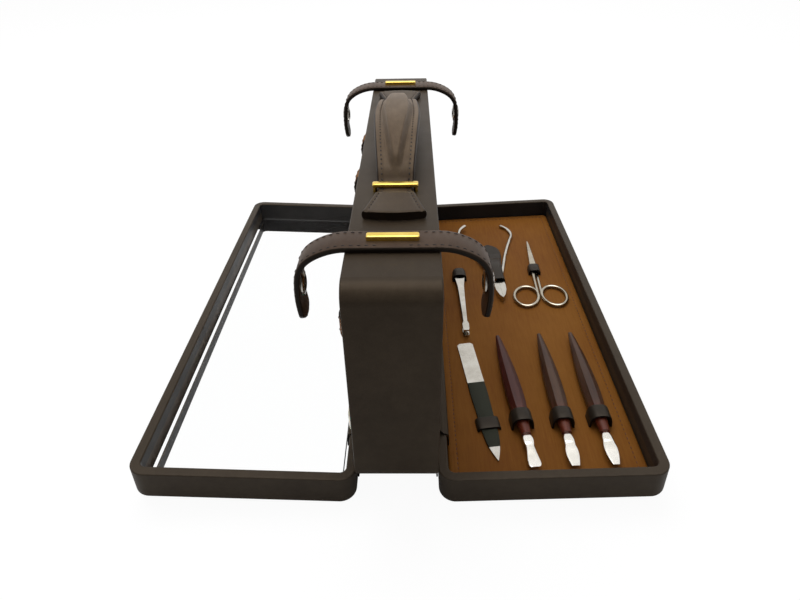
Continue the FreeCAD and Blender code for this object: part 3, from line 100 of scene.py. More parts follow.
def tool_axes(nodes, draw, tip):
    """Axes of a tool: across, along the way it is drawn, and up from the panel. Its tip is at
    along = 0: tip says whether that is its low or its high end."""
    along = Vector(JOINTS[draw]["axis"]).normalized()
    if along.y < 0:
        along = -along
    up = Vector((TRAY[0][2], TRAY[1][2], TRAY[2][2]))
    across = along.cross(up)
    axes = Matrix((across, along, up)).transposed().to_4x4()
    low, high = node_points(nodes, axes)
    floor = (axes.inverted() @ (TRAY @ Vector((0, 0, PANEL_HIGH.z)))).z
    origin = Vector(((low.x + high.x) / 2, low.y if tip == "low" else high.y, floor))
    return axes @ Matrix.Translation(origin)


WALL = 5.2
RIM_ROUND = 0.8
TRAY_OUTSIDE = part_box("right_tray_shell")[1].x / MM


# Materials

def add(tree, kind, inputs=None, **settings):
    """A shader node with its settings and its inputs, each a number or another node's output."""
    node = tree.nodes.new("ShaderNode" + kind)
    for name, setting in settings.items():
        setattr(node, name, setting)
    for name, given in (inputs or {}).items():
        if isinstance(given, bpy.types.NodeSocket):
            tree.links.new(given, node.inputs[name])
        else:
            node.inputs[name].default_value = given
    return node


def new_material(name, **values):
    material = bpy.data.materials.new(name)
    material.use_nodes = True
    tree = material.node_tree
    tree.nodes.clear()
    shader = add(tree, "BsdfPrincipled", values)
    add(tree, "OutputMaterial", {"Surface": shader.outputs["BSDF"]})
    return material, tree, shader


def place_of(tree, scale=(1, 1, 1), turn=0.0):
    """Texture coordinates in metres, stretched by scale."""
    where = add(tree, "TexCoord")
    mapping = add(tree, "Mapping", {"Vector": where.outputs["Object"], "Scale": scale,
                                    "Rotation": (0, 0, turn)})
    return mapping.outputs["Vector"]


def ramp(tree, factor, stops):
    """A colour ramp through (place, colour) stops."""
    node = add(tree, "ValToRGB", {"Fac": factor})
    elements = node.color_ramp.elements
    while len(elements) < len(stops):
        elements.new(0.5)
    for element, (place, colour) in zip(elements, stops):
        element.position = place
        element.color = (*colour, 1.0)
    return node.outputs["Color"]


def spread(tree, factor, low, high):
    node = add(tree, "MapRange", {"Value": factor, "To Min": low, "To Max": high})
    return node.outputs["Result"]


def noise_of(tree, where, scale, detail=4.0, roughness=0.5):
    node = add(tree, "TexNoise", {"Vector": where, "Scale": scale, "Detail": detail,
                                  "Roughness": roughness})
    return node.outputs["Fac"]


def blend_heights(tree, first, second, share):
    both = add(tree, "Mix", {"A": first, "B": second, "Factor": share}, data_type="FLOAT")
    return both.outputs["Result"]


def bumped(tree, shader, height, distance, strength=1.0):
    node = add(tree, "Bump", {"Height": height, "Distance": distance * MM, "Strength": strength})
    tree.links.new(node.outputs["Normal"], shader.inputs["Normal"])


def leather(name, dark, light, grain, depth, dull, shine, specular=0.4, shaded_inside=False, highlight_and_wear=None):
    """Leather: cells of a grain size in millimetres, fine pores, and slow changes of colour. For the trays it can
    be painted near black inside them, a painted shade on their inner walls and floors. The last argument names
    where it is painted lighter: "grip", the middle of the handle, for wear and a painted highlight, or "corner",
    the top's two ends, for a painted highlight."""
    material, tree, shader = new_material(name, **{"Specular IOR Level": specular,
                                                   "Specular Tint": (1.0, 0.86, 0.72, 1.0)})
    where = place_of(tree)
    slow = noise_of(tree, where, 18.0, 6.0, 0.6)
    scuffs = noise_of(tree, place_of(tree, (1, 0.35, 1)), 160.0, 6.0, 0.7)
    colour = ramp(tree, blend_heights(tree, slow, scuffs, 0.35), ((0.34, dark), (0.66, light)))
    # Painted shade: the trays' inner walls and floors are painted near black
    if shaded_inside:
        black = ramp(tree, slow, ((0.3, (0.014, 0.0148, 0.0165)), (0.7, (0.029, 0.0290, 0.0290))))
        both = add(tree, "Mix", {"A": colour, "B": black, "Factor": inside_trays(tree)}, data_type="RGBA")
        colour = both.outputs["Result"]
    # Painted highlight, with wear on the grip too: a paler copy of the leather's colours is mixed in
    if highlight_and_wear:
        pale = ramp(tree, blend_heights(tree, slow, scuffs, 0.5),
                    ((0.34, [2.1 * value for value in dark]), (0.66, [2.1 * value for value in light])))
        both = add(tree, "Mix", {"A": colour, "B": pale, "Factor": highlight_and_wear_of(tree, highlight_and_wear)}, data_type="RGBA")
        colour = both.outputs["Result"]
    tree.links.new(colour, shader.inputs["Base Color"])
    cells = add(tree, "TexVoronoi", {"Vector": where, "Scale": 1 / (grain * MM)},
                feature="DISTANCE_TO_EDGE")
    pores = noise_of(tree, where, 2200.0, 2.0)
    height = blend_heights(tree, cells.outputs["Distance"], pores, 0.35)
    bumped(tree, shader, height, depth)
    tree.links.new(spread(tree, noise_of(tree, where, 60.0, 5.0), dull, shine), shader.inputs["Roughness"])
    return material


def highlight_and_wear_of(tree, place):
    """How much lighter the leather is painted: all over the handle's grip, for wear and a painted highlight, or
    along the body's two top corners, for a painted highlight.
    """
    where = add(tree, "TexCoord")
    parts = add(tree, "SeparateXYZ", {0: where.outputs["Object"]})
    along = add(tree, "Math", {0: parts.outputs["Y"]}, operation="ABSOLUTE")
    # The grip: wear, and a painted highlight on the raised arch
    if place == "grip":
        share = add(tree, "MapRange", {"Value": along.outputs[0], "From Min": 0.040, "From Max": 0.068,
                                       "To Min": 1.0, "To Max": 0.0}, interpolation_type="SMOOTHSTEP")
    else:
        # The corners: a painted highlight along the rounded top edges at the front and the rear
        reach = add(tree, "Math", {0: along.outputs[0], 1: parts.outputs["Z"]}, operation="ADD")
        edge = (HALF_LENGTH + BODY_TOP) * MM
        share = add(tree, "MapRange", {"Value": reach.outputs[0], "From Min": edge - 0.0072,
                                       "From Max": edge - 0.0050, "To Min": 0.0, "To Max": 0.5},
                    interpolation_type="SMOOTHSTEP")
    return share.outputs["Result"]


def inside_trays(tree):
    """1 on the trays' inner walls and floors, 0 on their rims and outsides."""
    where = add(tree, "TexCoord")
    parts = add(tree, "SeparateXYZ", {0: where.outputs["Object"]})
    out = add(tree, "Math", {0: parts.outputs["X"]}, operation="ABSOLUTE")
    along = add(tree, "Math", {0: parts.outputs["Y"]}, operation="ABSOLUTE")
    # The rim's height grows with the distance from the hinge
    rim = add(tree, "Math", {0: out.outputs[0], 1: math.tan(TILT),
                             2: (HINGE_UP - HINGE_OUT * math.tan(TILT) - RIM_ROUND) * MM},
              operation="MULTIPLY_ADD")
    tests = [
        add(tree, "Math", {0: along.outputs[0], 1: (HALF_LENGTH - WALL + 0.1) * MM}, operation="LESS_THAN"),
        add(tree, "Math", {0: out.outputs[0], 1: (TRAY_OUTSIDE - WALL - 0.4) * MM}, operation="LESS_THAN"),
        add(tree, "Math", {0: out.outputs[0], 1: (HINGE_OUT + WALL - 0.1) * MM}, operation="GREATER_THAN"),
        add(tree, "Math", {0: parts.outputs["Z"], 1: rim.outputs[0]}, operation="LESS_THAN"),
    ]
    inside = tests[0]
    for test in tests[1:]:
        inside = add(tree, "Math", {0: inside.outputs[0], 1: test.outputs[0]}, operation="MULTIPLY")
    return inside.outputs[0]


def tan_leather():
    """The panel's leather: tan, with a fine grain that runs along the case."""
    material, tree, shader = new_material("tan_leather", **{"Specular IOR Level": 0.12})
    slow = noise_of(tree, place_of(tree), 14.0, 5.0, 0.6)
    streaks = noise_of(tree, place_of(tree, (900, 60, 900)), 1.0, 4.0, 0.65)
    tone = blend_heights(tree, slow, streaks, 0.4)
    colours = ((0.3, (0.150, 0.050, 0.008)), (0.5, (0.200, 0.076, 0.0125)), (0.72, (0.25, 0.105, 0.020)))
    tree.links.new(ramp(tree, tone, colours), shader.inputs["Base Color"])
    bumped(tree, shader, streaks, 0.06, 0.8)
    tree.links.new(spread(tree, slow, 0.5, 0.68), shader.inputs["Roughness"])
    return material


def metal(name, colour, dull, rough, scratch=0.004):
    """Polished metal with faint scratches and slightly uneven polish."""
    material, tree, shader = new_material(name, Metallic=1.0)
    where = place_of(tree)
    tone = noise_of(tree, where, 90.0, 5.0, 0.6)
    tree.links.new(ramp(tree, tone, ((0.3, dull), (0.65, colour))), shader.inputs["Base Color"])
    lines = noise_of(tree, place_of(tree, (500, 4000, 500), 0.4), 1.0, 3.0)
    bumped(tree, shader, lines, scratch, 0.5)
    tree.links.new(spread(tree, tone, rough * 1.3, rough * 0.7), shader.inputs["Roughness"])
    return material


def abrasive():
    """The file's cut face: crossed rows of teeth on dark steel."""
    material, tree, shader = new_material("abrasive", **{"Specular IOR Level": 0.22,
                                                            "Specular Tint": (0.95, 1.0, 0.75, 1.0)})
    rows = []
    for turn in (0.9, -0.7):
        wave = add(tree, "TexWave", {"Vector": place_of(tree, turn=turn), "Scale": 480.0,
                                     "Distortion": 0.6, "Detail": 1.0}, wave_type="BANDS")
        rows.append(wave.outputs["Fac"])
    height = blend_heights(tree, rows[0], rows[1], 0.5)
    tone = ramp(tree, height, ((0.2, (0.005, 0.0055, 0.004)), (0.8, (0.019, 0.020, 0.015))))
    tree.links.new(tone, shader.inputs["Base Color"])
    bumped(tree, shader, height, 0.12)
    shader.inputs["Roughness"].default_value = 0.55
    return material


def resin(name, dark, middle, light):
    """The implements' handles: deep brown, with a painted reddish glow at the thin necks that stands in for light
    passing through the resin.
    """
    material, tree, shader = new_material(name, **{
        "Roughness": 0.4, "Specular IOR Level": 0.3, "Subsurface Weight": 0.2,
        "Subsurface Scale": 0.003, "Subsurface Radius": (1.0, 0.12, 0.06)})
    streaks = noise_of(tree, place_of(tree, (260, 26, 260)), 1.0, 5.0, 0.6)
    colour = ramp(tree, streaks, ((0.3, dark), (0.55, middle), (0.8, light)))
    # Painted glow: the thin necks at the front are painted redder, standing in for light that passes through them
    where = add(tree, "TexCoord")
    parts = add(tree, "SeparateXYZ", {0: where.outputs["Object"]})
    neck = add(tree, "MapRange", {"Value": parts.outputs["Y"], "From Min": -0.106, "From Max": -0.092,
                                  "To Min": 0.8, "To Max": 0.0}, interpolation_type="SMOOTHSTEP")
    painted_glow_colour = ramp(tree, streaks, ((0.3, (0.085, 0.014, 0.006)), (0.8, (0.16, 0.032, 0.013))))
    both = add(tree, "Mix", {"A": colour, "B": painted_glow_colour, "Factor": neck.outputs["Result"]}, data_type="RGBA")
    tree.links.new(both.outputs["Result"], shader.inputs["Base Color"])
    bumped(tree, shader, streaks, 0.02, 0.4)
    return material


def mirror_glass():
    material, tree, shader = new_material("mirror_glass", Metallic=1.0)
    tone = noise_of(tree, place_of(tree), 12.0)
    colours = ((0.0, (0.985, 0.99, 0.99)), (1.0, (1.0, 1.0, 1.0)))
    tree.links.new(ramp(tree, tone, colours), shader.inputs["Base Color"])
    tree.links.new(spread(tree, tone, 0.012, 0.022), shader.inputs["Roughness"])
    return material


def clear_glass():
    material, tree, shader = new_material("clear_glass", **{"Transmission Weight": 1.0, "IOR": 1.46})
    ripple = noise_of(tree, place_of(tree), 70.0, 2.0)
    colours = ((0.0, (0.90, 0.93, 0.91)), (1.0, (0.97, 0.98, 0.97)))
    tree.links.new(ramp(tree, ripple, colours), shader.inputs["Base Color"])
    bumped(tree, shader, ripple, 0.15, 0.5)
    shader.inputs["Roughness"].default_value = 0.03
    return material


def celluloid(name, dark, light, clear):
    """Milky plastic of old brush handles and tubes."""
    material, tree, shader = new_material(name, **{
        "Roughness": 0.25, "Transmission Weight": clear, "IOR": 1.5, "Subsurface Weight": 0.2,
        "Subsurface Scale": 0.004})
    swirl = noise_of(tree, place_of(tree, (60, 14, 60)), 1.0, 6.0, 0.6)
    tree.links.new(ramp(tree, swirl, ((0.3, dark), (0.7, light))), shader.inputs["Base Color"])
    bumped(tree, shader, swirl, 0.02, 0.3)
    return material


def wood():
    """Varnished hardwood of the brush backs, grain along the case."""
    material, tree, shader = new_material("brush_wood", **{"Coat Weight": 0.5, "Coat Roughness": 0.15})
    grain = noise_of(tree, place_of(tree, (420, 16, 420)), 1.0, 6.0, 0.62)
    colours = ((0.3, (0.030, 0.008, 0.006)), (0.5, (0.075, 0.022, 0.012)), (0.7, (0.13, 0.042, 0.02)))
    tree.links.new(ramp(tree, grain, colours), shader.inputs["Base Color"])
    bumped(tree, shader, grain, 0.03, 0.5)
    tree.links.new(spread(tree, grain, 0.45, 0.3), shader.inputs["Roughness"])
    return material


def cloth(name, dark, light):
    """Woven lining: fine threads both ways."""
    material, tree, shader = new_material(name, **{"Sheen Weight": 0.25, "Sheen Roughness": 0.4})
    waves = []
    for direction in ("X", "Y", "Z"):
        wave = add(tree, "TexWave", {"Vector": place_of(tree), "Scale": 900.0, "Distortion": 0.4},
                   wave_type="BANDS", bands_direction=direction)
        waves.append(wave.outputs["Fac"])
    weave = blend_heights(tree, blend_heights(tree, waves[0], waves[1], 0.5), waves[2], 0.34)
    tree.links.new(ramp(tree, weave, ((0.2, dark), (0.8, light))), shader.inputs["Base Color"])
    bumped(tree, shader, weave, 0.08)
    shader.inputs["Roughness"].default_value = 0.85
    return material


def hair(name, root, tip):
    """Bristles: strands that vary in tone from one to the next."""
    material, tree, shader = new_material(name, **{"Roughness": 0.55, "Specular IOR Level": 0.3})
    tone = noise_of(tree, place_of(tree, (900, 900, 60)), 1.0, 3.0)
    tree.links.new(ramp(tree, tone, ((0.3, root), (0.7, tip))), shader.inputs["Base Color"])
    return material


def thread(name, dark, light):
    """Twisted sewing thread."""
    material, tree, shader = new_material(name, Roughness=0.7)
    twist = add(tree, "TexWave", {"Vector": place_of(tree), "Scale": 1400.0, "Distortion": 1.0},
                wave_type="BANDS", bands_direction="DIAGONAL")
    colour = ramp(tree, twist.outputs["Fac"], ((0.2, dark), (0.8, light)))
    tree.links.new(colour, shader.inputs["Base Color"])
    bumped(tree, shader, twist.outputs["Fac"], 0.05)
    return material


# The body: a painted highlight along its two top corners
CASE_LEATHER = leather("case_leather", (0.030, 0.0212, 0.0138), (0.050, 0.0365, 0.0240), 0.75, 0.05,
                       0.5, 0.34, 0.13, highlight_and_wear="corner")
# The trays: painted shade, near black, on the inner walls and floors
TRAY_LEATHER = leather("tray_leather", (0.036, 0.0272, 0.0195), (0.060, 0.0465, 0.0335), 0.75, 0.05,
                       0.5, 0.34, 0.13, shaded_inside=True)
STRAP_LEATHER = leather("strap_leather", (0.046, 0.0275, 0.0185), (0.098, 0.065, 0.046), 0.55, 0.035,
                        0.5, 0.36, 0.13)
# The handle: its grip painted lighter, for wear and a painted highlight
HANDLE_LEATHER = leather("handle_leather", (0.040, 0.0265, 0.0168), (0.084, 0.0605, 0.0390), 0.55, 0.035,
                         0.5, 0.36, 0.13, highlight_and_wear="grip")
STRAP_EDGE_LEATHER = leather("strap_edge", (0.010, 0.0065, 0.0045), (0.026, 0.017, 0.012), 0.6, 0.05,
                             0.5, 0.35, 0.15)
EDGE_LEATHER = leather("edge_paint", (0.004, 0.0035, 0.003), (0.009, 0.0075, 0.0065), 0.9, 0.05,
                       0.5, 0.35, 0.15)
LOOP_LEATHER = leather("loop_leather", (0.011, 0.0085, 0.0062), (0.028, 0.0225, 0.017), 0.45, 0.04,
                       0.5, 0.35, 0.2)
TAN_LEATHER = tan_leather()
BRASS = metal("brass", (0.93, 0.68, 0.16), (0.80, 0.54, 0.10), 0.2)
STEEL = metal("steel", (0.60, 0.575, 0.52), (0.46, 0.43, 0.375), 0.16)
BRIGHT_STEEL = metal("bright_steel", (0.86, 0.83, 0.77), (0.72, 0.69, 0.62), 0.18)
NICKEL = metal("nickel", (0.50, 0.455, 0.37), (0.38, 0.335, 0.26), 0.2)
ABRASIVE = abrasive()
RESIN = resin("brown_resin", (0.028, 0.0105, 0.0055), (0.058, 0.027, 0.015), (0.10, 0.05, 0.028))
RED_RESIN = resin("red_resin", (0.026, 0.0048, 0.0038), (0.050, 0.011, 0.008), (0.080, 0.024, 0.016))
MIRROR = mirror_glass()
GLASS = clear_glass()
CELLULOID = celluloid("celluloid", (0.62, 0.58, 0.46), (0.84, 0.81, 0.72), 0.35)
IVORINE = celluloid("ivorine", (0.66, 0.58, 0.40), (0.82, 0.76, 0.60), 0.0)
WOOD = wood()
LINING = cloth("lining", (0.10, 0.045, 0.018), (0.19, 0.09, 0.038))
BRISTLE = hair("bristle", (0.42, 0.33, 0.19), (0.68, 0.58, 0.40))
DARK_THREAD = thread("dark_thread", (0.006, 0.004, 0.003), (0.022, 0.014, 0.010))
TAN_THREAD = thread("tan_thread", (0.035, 0.010, 0.004), (0.10, 0.032, 0.012))


# Meshes

def make_piece(name, vertices, faces, materials, slot, matrix=None, sharp=40.0):
    """An object from millimetre vertices, smooth except at edges sharper than an angle. faces holds
    corner lists, or (corner list, material number) pairs."""
    mesh = bpy.data.meshes.new(name)
    matrix = matrix or Matrix.Identity(4)
    corners = [face[0] if isinstance(face[0], (tuple, list)) else face for face in faces]
    mesh.from_pydata([(matrix @ Vector(vertex)) * MM for vertex in vertices], [], corners)
    for material in materials:
        mesh.materials.append(material)
    for polygon, face in zip(mesh.polygons, faces):
        if isinstance(face[0], (tuple, list)):
            polygon.material_index = face[1]
    tidy = bmesh.new()
    tidy.from_mesh(mesh)
    bmesh.ops.remove_doubles(tidy, verts=tidy.verts, dist=1e-7)
    bmesh.ops.recalc_face_normals(tidy, faces=tidy.faces)
    tidy.to_mesh(mesh)
    tidy.free()
    mesh.polygons.foreach_set("use_smooth", [True] * len(mesh.polygons))
    mesh.set_sharp_from_angle(angle=math.radians(sharp))
    piece = bpy.data.objects.new(name, mesh)
    bpy.context.scene.collection.objects.link(piece)
    return piece


def loft(sections, material_of=None, closed_ends=True):
    """Vertices and faces of a skin over closed sections that have the same number of points."""
    count = len(sections[0])
    vertices = [point for section in sections for point in section]
    faces = []
    for row in range(len(sections) - 1):
        for column in range(count):
            after = (column + 1) % count
            face = (row * count + column, row * count + after,
                    (row + 1) * count + after, (row + 1) * count + column)
            faces.append((face, material_of(row, column) if material_of else 0))
    if closed_ends:
        last = (len(sections) - 1) * count
        end_material = material_of(-1, -1) if material_of else 0
        faces.append((tuple(reversed(range(count))), end_material))
        faces.append((tuple(range(last, last + count)), end_material))
    return vertices, faces


def join(parts):
    """Several (vertices, faces) as one."""
    vertices = []
    faces = []
    for some_vertices, some_faces in parts:
        start = len(vertices)
        vertices += some_vertices
        for face in some_faces:
            if isinstance(face[0], (tuple, list)):
                faces.append((tuple(corner + start for corner in face[0]), face[1]))
            else:
                faces.append(tuple(corner + start for corner in face))
    return vertices, faces


def flat_section(width, thickness, edge, steps=3):
    """A strap's section as (across, up) points, its edges rounded; starts at the lower right."""
    points = []
    for side, level, start in ((1, -1, -90), (1, 1, 0), (-1, 1, 90), (-1, -1, 180)):
        for step in range(steps + 1):
            angle = math.radians(start + 90 * step / steps)
            points.append((side * (width / 2 - edge) + edge * math.cos(angle),
                           level * (thickness / 2 - edge) + edge * math.sin(angle)))
    return points


EDGE_STEPS = 3


def strip(path, across, width, thickness, edge, bow=0.0, plies=False):
    """A leather strip along a path. across is its width's direction; width may be a function of the
    share of the path. Its cut edges and ends have material 1, and with plies the line between two
    layers of leather has material 2."""
    sections = []
    total = len(path) - 1
    for number, point in enumerate(path):
        before = path[max(number - 1, 0)]
        after = path[min(number + 1, total)]
        tangent = (Vector(after) - Vector(before)).normalized()
        up = tangent.cross(across).normalized()
        share = number / total
        wide = width(share) if callable(width) else width
        section = []
        for x, z in flat_section(wide, thickness, edge, EDGE_STEPS):
            crown = bow * (1 - (2 * x / wide) ** 2)
            section.append(Vector(point) + across * x + up * (z + crown))
        sections.append(section)

    def material_of(row, column):
        half = 2 * (EDGE_STEPS + 1)
        if plies and row >= 0 and column % half == EDGE_STEPS:
            return 2
        return 1 if row < 0 or 0 < column % half < half - 2 else 0

    return loft(sections, material_of)


def walk(path, pitch):
    """Points every pitch along a path, each with its direction."""
    places = []
    left = pitch / 2
    for start, end in zip(path, path[1:]):
        start = Vector(start)
        step = Vector(end) - start
        length = step.length
        while left <= length:
            places.append((start + step * (left / length), step.normalized()))
            left += pitch
        left -= length
    return places


def stitches(path, ups, pitch=3.4, share=0.66, radius=0.28):
    """A row of short threads that dip into the leather at both ends. ups is the surface's normal, or a
    function of a point of the path."""
    parts = []
    sides = 6
    for middle, heading in walk(path, pitch):
        up = ups(middle) if callable(ups) else Vector(ups)
        up = (up - heading * up.dot(heading)).normalized()
        side = heading.cross(up)
        sections = []
        for step in range(5):
            travel = (step / 4 - 0.5) * pitch * share
            lift = radius * (0.35 - 3.8 * (step / 4 - 0.5) ** 2)
            size = radius * (1.0 if 0 < step < 4 else 0.55)
            centre = middle + heading * travel + up * lift
            sections.append([centre + side * size * math.cos(turn * math.tau / sides)
                             + up * size * 0.8 * math.sin(turn * math.tau / sides)
                             for turn in range(sides)])
        parts.append(loft(sections))
    return join(parts)


def arc_points(start, end, bulge, steps):
    """Points of an arc from start to end in a plane, bulge being its height to the left."""
    a = Vector(start)
    b = Vector(end)
    chord = b - a
    half = chord.length / 2
    radius = (half ** 2 + bulge ** 2) / (2 * abs(bulge))
    side = Vector((-chord.y, chord.x)).normalized() * (1 if bulge > 0 else -1)
    centre = (a + b) / 2 + side * (abs(bulge) - radius)
    first = math.atan2(a.y - centre.y, a.x - centre.x)
    sweep = math.atan2(b.y - centre.y, b.x - centre.x) - first
    sweep = math.remainder(sweep, math.tau)
    return [centre + Vector((math.cos(first + sweep * step / steps),
                             math.sin(first + sweep * step / steps))) * radius
            for step in range(steps + 1)]


def smooth(share):
    share = min(max(share, 0.0), 1.0)
    return share * share * (3 - 2 * share)


def curve_through(stops, share):
    """A smooth value at a share, through (share, value) stops."""
    for number in range(len(stops) - 1):
        if share <= stops[number + 1][0] or number == len(stops) - 2:
            break
    x0, y0 = stops[number]
    x1, y1 = stops[number + 1]
    before = stops[max(number - 1, 0)]
    after = stops[min(number + 2, len(stops) - 1)]
    span = x1 - x0
    slope0 = (y1 - before[1]) / (x1 - before[0]) if number > 0 else (y1 - y0) / span
    slope1 = (after[1] - y0) / (after[0] - x0) if number + 2 < len(stops) else (y1 - y0) / span
    t = (share - x0) / span
    return ((2 * t ** 3 - 3 * t ** 2 + 1) * y0 + (t ** 3 - 2 * t ** 2 + t) * span * slope0
            + (3 * t ** 2 - 2 * t ** 3) * y1 + (t ** 3 - t ** 2) * span * slope1)


# Carrying handle

HANDLE_THICKNESS = 4.0
HANDLE_NECK = 17.5
HANDLE_MIDDLE = 26.0
HANDLE_RISE = 15.5
FAN_WIDTH = 29.4
FAN_START = KEEPER_ALONG + 4.5
FAN_END = KEEPER_ALONG + 29.0
FAN_BULGE = 2.2
ARCH_REACH = KEEPER_ALONG - 4.5
GRIP_HEIGHT = 4.0
GRIP_MIDDLE = 17.6
GRIP_END = 5.0
GRIP_REACH = 55.0
GRIP_SLOPE = 2.4
HANDLE_EDGE = 0.9
HANDLE_SAMPLES = 44
PINCH = 1.8


def handle_lift(y):
    share = min(abs(y) / ARCH_REACH, 1.0)
    return HANDLE_RISE * (1 - share ** 2.6)


def handle_half(y):
    if abs(y) > FAN_START:
        share = (abs(y) - FAN_START) / (FAN_END - FAN_START)
        return (HANDLE_NECK + (FAN_WIDTH - HANDLE_NECK) * min(share, 1.0) ** 1.1) / 2
    share = min(abs(y) / KEEPER_ALONG, 1.0)
    return (HANDLE_MIDDLE - (HANDLE_MIDDLE - HANDLE_NECK) * share ** 1.3) / 2


def seam_inset(y):
    return 3.5 - 1.1 * smooth(abs(y) / 75)


def handle_thickness(y):
    """The handle is pressed thinner where it runs under its keepers."""
    return HANDLE_THICKNESS - PINCH * smooth((10 - abs(abs(y) - KEEPER_ALONG)) / 5)


def handle_top(x, y):
    """Height of the handle's top over its underside: the flange, the seam's groove and the grip."""
    wide = handle_half(y)
    share = min(abs(y) / GRIP_REACH, 1.0)
    base = (GRIP_MIDDLE + (GRIP_END - GRIP_MIDDLE) * share ** 1.35) / 2
    side = (base - abs(x)) / GRIP_SLOPE
    edge = min(max(side, 0.0), 1.0)
    edge = edge + (smooth(edge) - edge) * 0.6
    grip = GRIP_HEIGHT * (1 - 0.25 * share ** 2) * (1 - smooth((share - 0.88) / 0.12)) * edge
    seam = 0.3 * math.exp(-(((wide - seam_inset(y)) - abs(x)) / 0.6) ** 2)
    ditch = 0.3 * math.exp(-((base + 0.4 - abs(x)) / 0.5) ** 2) * (1 - smooth((share - 0.9) / 0.1))
    return handle_thickness(y) + grip - seam - ditch + 0.3 * (1 - (x / wide) ** 2)


def handle_section(y, shrink=0.0):
    """The handle's section at y, as a ring of points."""
    wide = handle_half(y)
    low = handle_lift(y)
    middle = handle_thickness(y) / 2
    ring = []
    outward = smooth((abs(y) - FAN_START) / (FAN_END - FAN_START))
    for step in range(HANDLE_SAMPLES + 1):
        x = (wide - HANDLE_EDGE) * (1 - 2 * step / HANDLE_SAMPLES)
        ring.append((x, handle_top(x, y) - shrink))
    sides = []
    for angle in (120, 150, 180, 210, 240):
        turn = math.radians(angle)
        sides.append((-wide + HANDLE_EDGE + HANDLE_EDGE * math.cos(turn),
                      middle + (middle - shrink / 2) * math.sin(turn)))
    bottom = [(x, 0.0) for x in (HANDLE_EDGE - wide, -wide / 2, 0.0, wide / 2, wide - HANDLE_EDGE)]
    right = [(-x, z) for x, z in reversed(sides)]
    points = []
    for x, z in ring + sides + bottom + right:
        bulge = FAN_BULGE * outward * (1 - (x / wide) ** 2)
        points.append(Vector((x, y + math.copysign(bulge, y), BODY_TOP + low + z)))
    return points


def carrying_handle():
    """The leather handle: a bowed strap with a stitched flange, a raised grip and flared ends."""
    places = [FAN_END, FAN_END - 0.5, FAN_END - 1.5]
    step = FAN_END - 1.5
    while step > 1.5:
        step -= 1.5
        places.append(max(step, 0.0))
    if places[-1] > 0.0:
        places.append(0.0)
    stations = [(place, 0.0) for place in places]
    stations[0] = (FAN_END, 0.3)
    stations[1] = (FAN_END - 0.5, 0.0)
    both = stations + [(-place, shrink) for place, shrink in reversed(stations[:-1])]
    sections = [handle_section(y, shrink) for y, shrink in both]
    top = HANDLE_SAMPLES

    def material_of(row, column):
        return 1 if row < 0 or top <= column < top + 6 or column >= top + 11 else 0

    vertices, faces = loft(sections, material_of)
    piece = make_piece("handle_leather", vertices, faces, [HANDLE_LEATHER, STRAP_EDGE_LEATHER], "strap_leather",
                       sharp=50.0)
    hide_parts("carry_handle")
    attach(piece, "handle")
    seams = []
    for side in (LEFT, RIGHT):
        path = []
        steps = 90
        for number in range(steps + 1):
            y = (2 * number / steps - 1) * (FAN_END - 2.0)
            x = side * (handle_half(y) - seam_inset(y))
            path.append(Vector((x, y, BODY_TOP + handle_lift(y) + handle_top(x, y))))
        seams.append(stitches(path, (0, 0, 1), pitch=3.0, share=0.5, radius=0.36))
    thread_piece = make_piece("handle_stitches", *join(seams), [DARK_THREAD], "strap_leather")
    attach(thread_piece, "handle")


KEEPER_LENGTH = 22.4
KEEPER_HEIGHT = 2.0
KEEPER_POST = 10.0


def keeper_bars():
    """The handle's brass keepers: rounded bars on two posts, close down on the leather."""
    underside = BODY_TOP + HANDLE_THICKNESS - PINCH + 0.4
    for end, where in ENDS:
        middle = Vector((0, end * KEEPER_ALONG, underside + KEEPER_HEIGHT / 2))
        half = KEEPER_LENGTH / 2
        sections = []
        for x, size in ((-half, 0.72), (-half + 0.2, 0.9), (-half + 0.6, 1.0), (-4.0, 1.0), (4.0, 1.0),
                        (half - 0.6, 1.0), (half - 0.2, 0.9), (half, 0.72)):
            sections.append([middle + Vector((x, y * size, z * size))
                             for y, z in flat_section(BAR_DEPTH, KEEPER_HEIGHT, 0.6, 4)])
        parts = [loft(sections)]
        for side in (LEFT, RIGHT):
            parts.append(loft([[Vector((side * KEEPER_POST + math.cos(turn * math.tau / 16), middle.y
                                        + math.sin(turn * math.tau / 16), z)) for turn in range(16)]
                               for z in (BODY_TOP - 1.0, underside + 0.5)]))
        piece = make_piece(f"keeper_bar_{where}", *join(parts), [BRASS], "brass", sharp=35.0)
        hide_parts("handle_keepers")
        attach(piece, "case_body")


# Cross straps

STRAP_WIDTH = 15.0
STRAP_LEATHER_THICKNESS = 2.6
STRAP_EDGE = 0.9
STRAP_DROP = 35.5
STRAP_FALL = 16.0
STRAP_REACH = 41.4
# Out from the middle and down from the body's top, from the body's edge to the hanging end
STRAP_BEND = ((23.0, 0.25), (26.5, 1.0), (29.8, 2.1), (32.8, 3.5), (35.5, 5.2), (37.8, 7.3), (39.5, 9.9),
              (40.6, 12.8), (41.2, 16.2))


def strap_path():
    """The strap's middle line from the bar to its tip, as (out, up from the body's top)."""
    middle = STRAP_LEATHER_THICKNESS / 2
    path = [(out, middle) for out in (0.0, 4.0, 8.0, 12.0, 16.0, 19.5)]
    path += [(out, middle - fall) for out, fall in STRAP_BEND]
    drops = 8
    for step in range(1, drops + 1):
        share = step / drops
        path.append((STRAP_REACH + 0.5 * math.sin(share * math.pi) - 0.9 * share ** 2,
                     -STRAP_FALL - (STRAP_DROP - STRAP_FALL) * share))
    return path


def strap_width(share):
    """The strap keeps its width, then narrows to a round tip."""
    tip = (share - 0.93) / 0.07
    if tip <= 0:
        return STRAP_WIDTH
    return max(STRAP_WIDTH * math.sqrt(max(1 - tip ** 2.2, 0.0)), STRAP_WIDTH * 0.42)


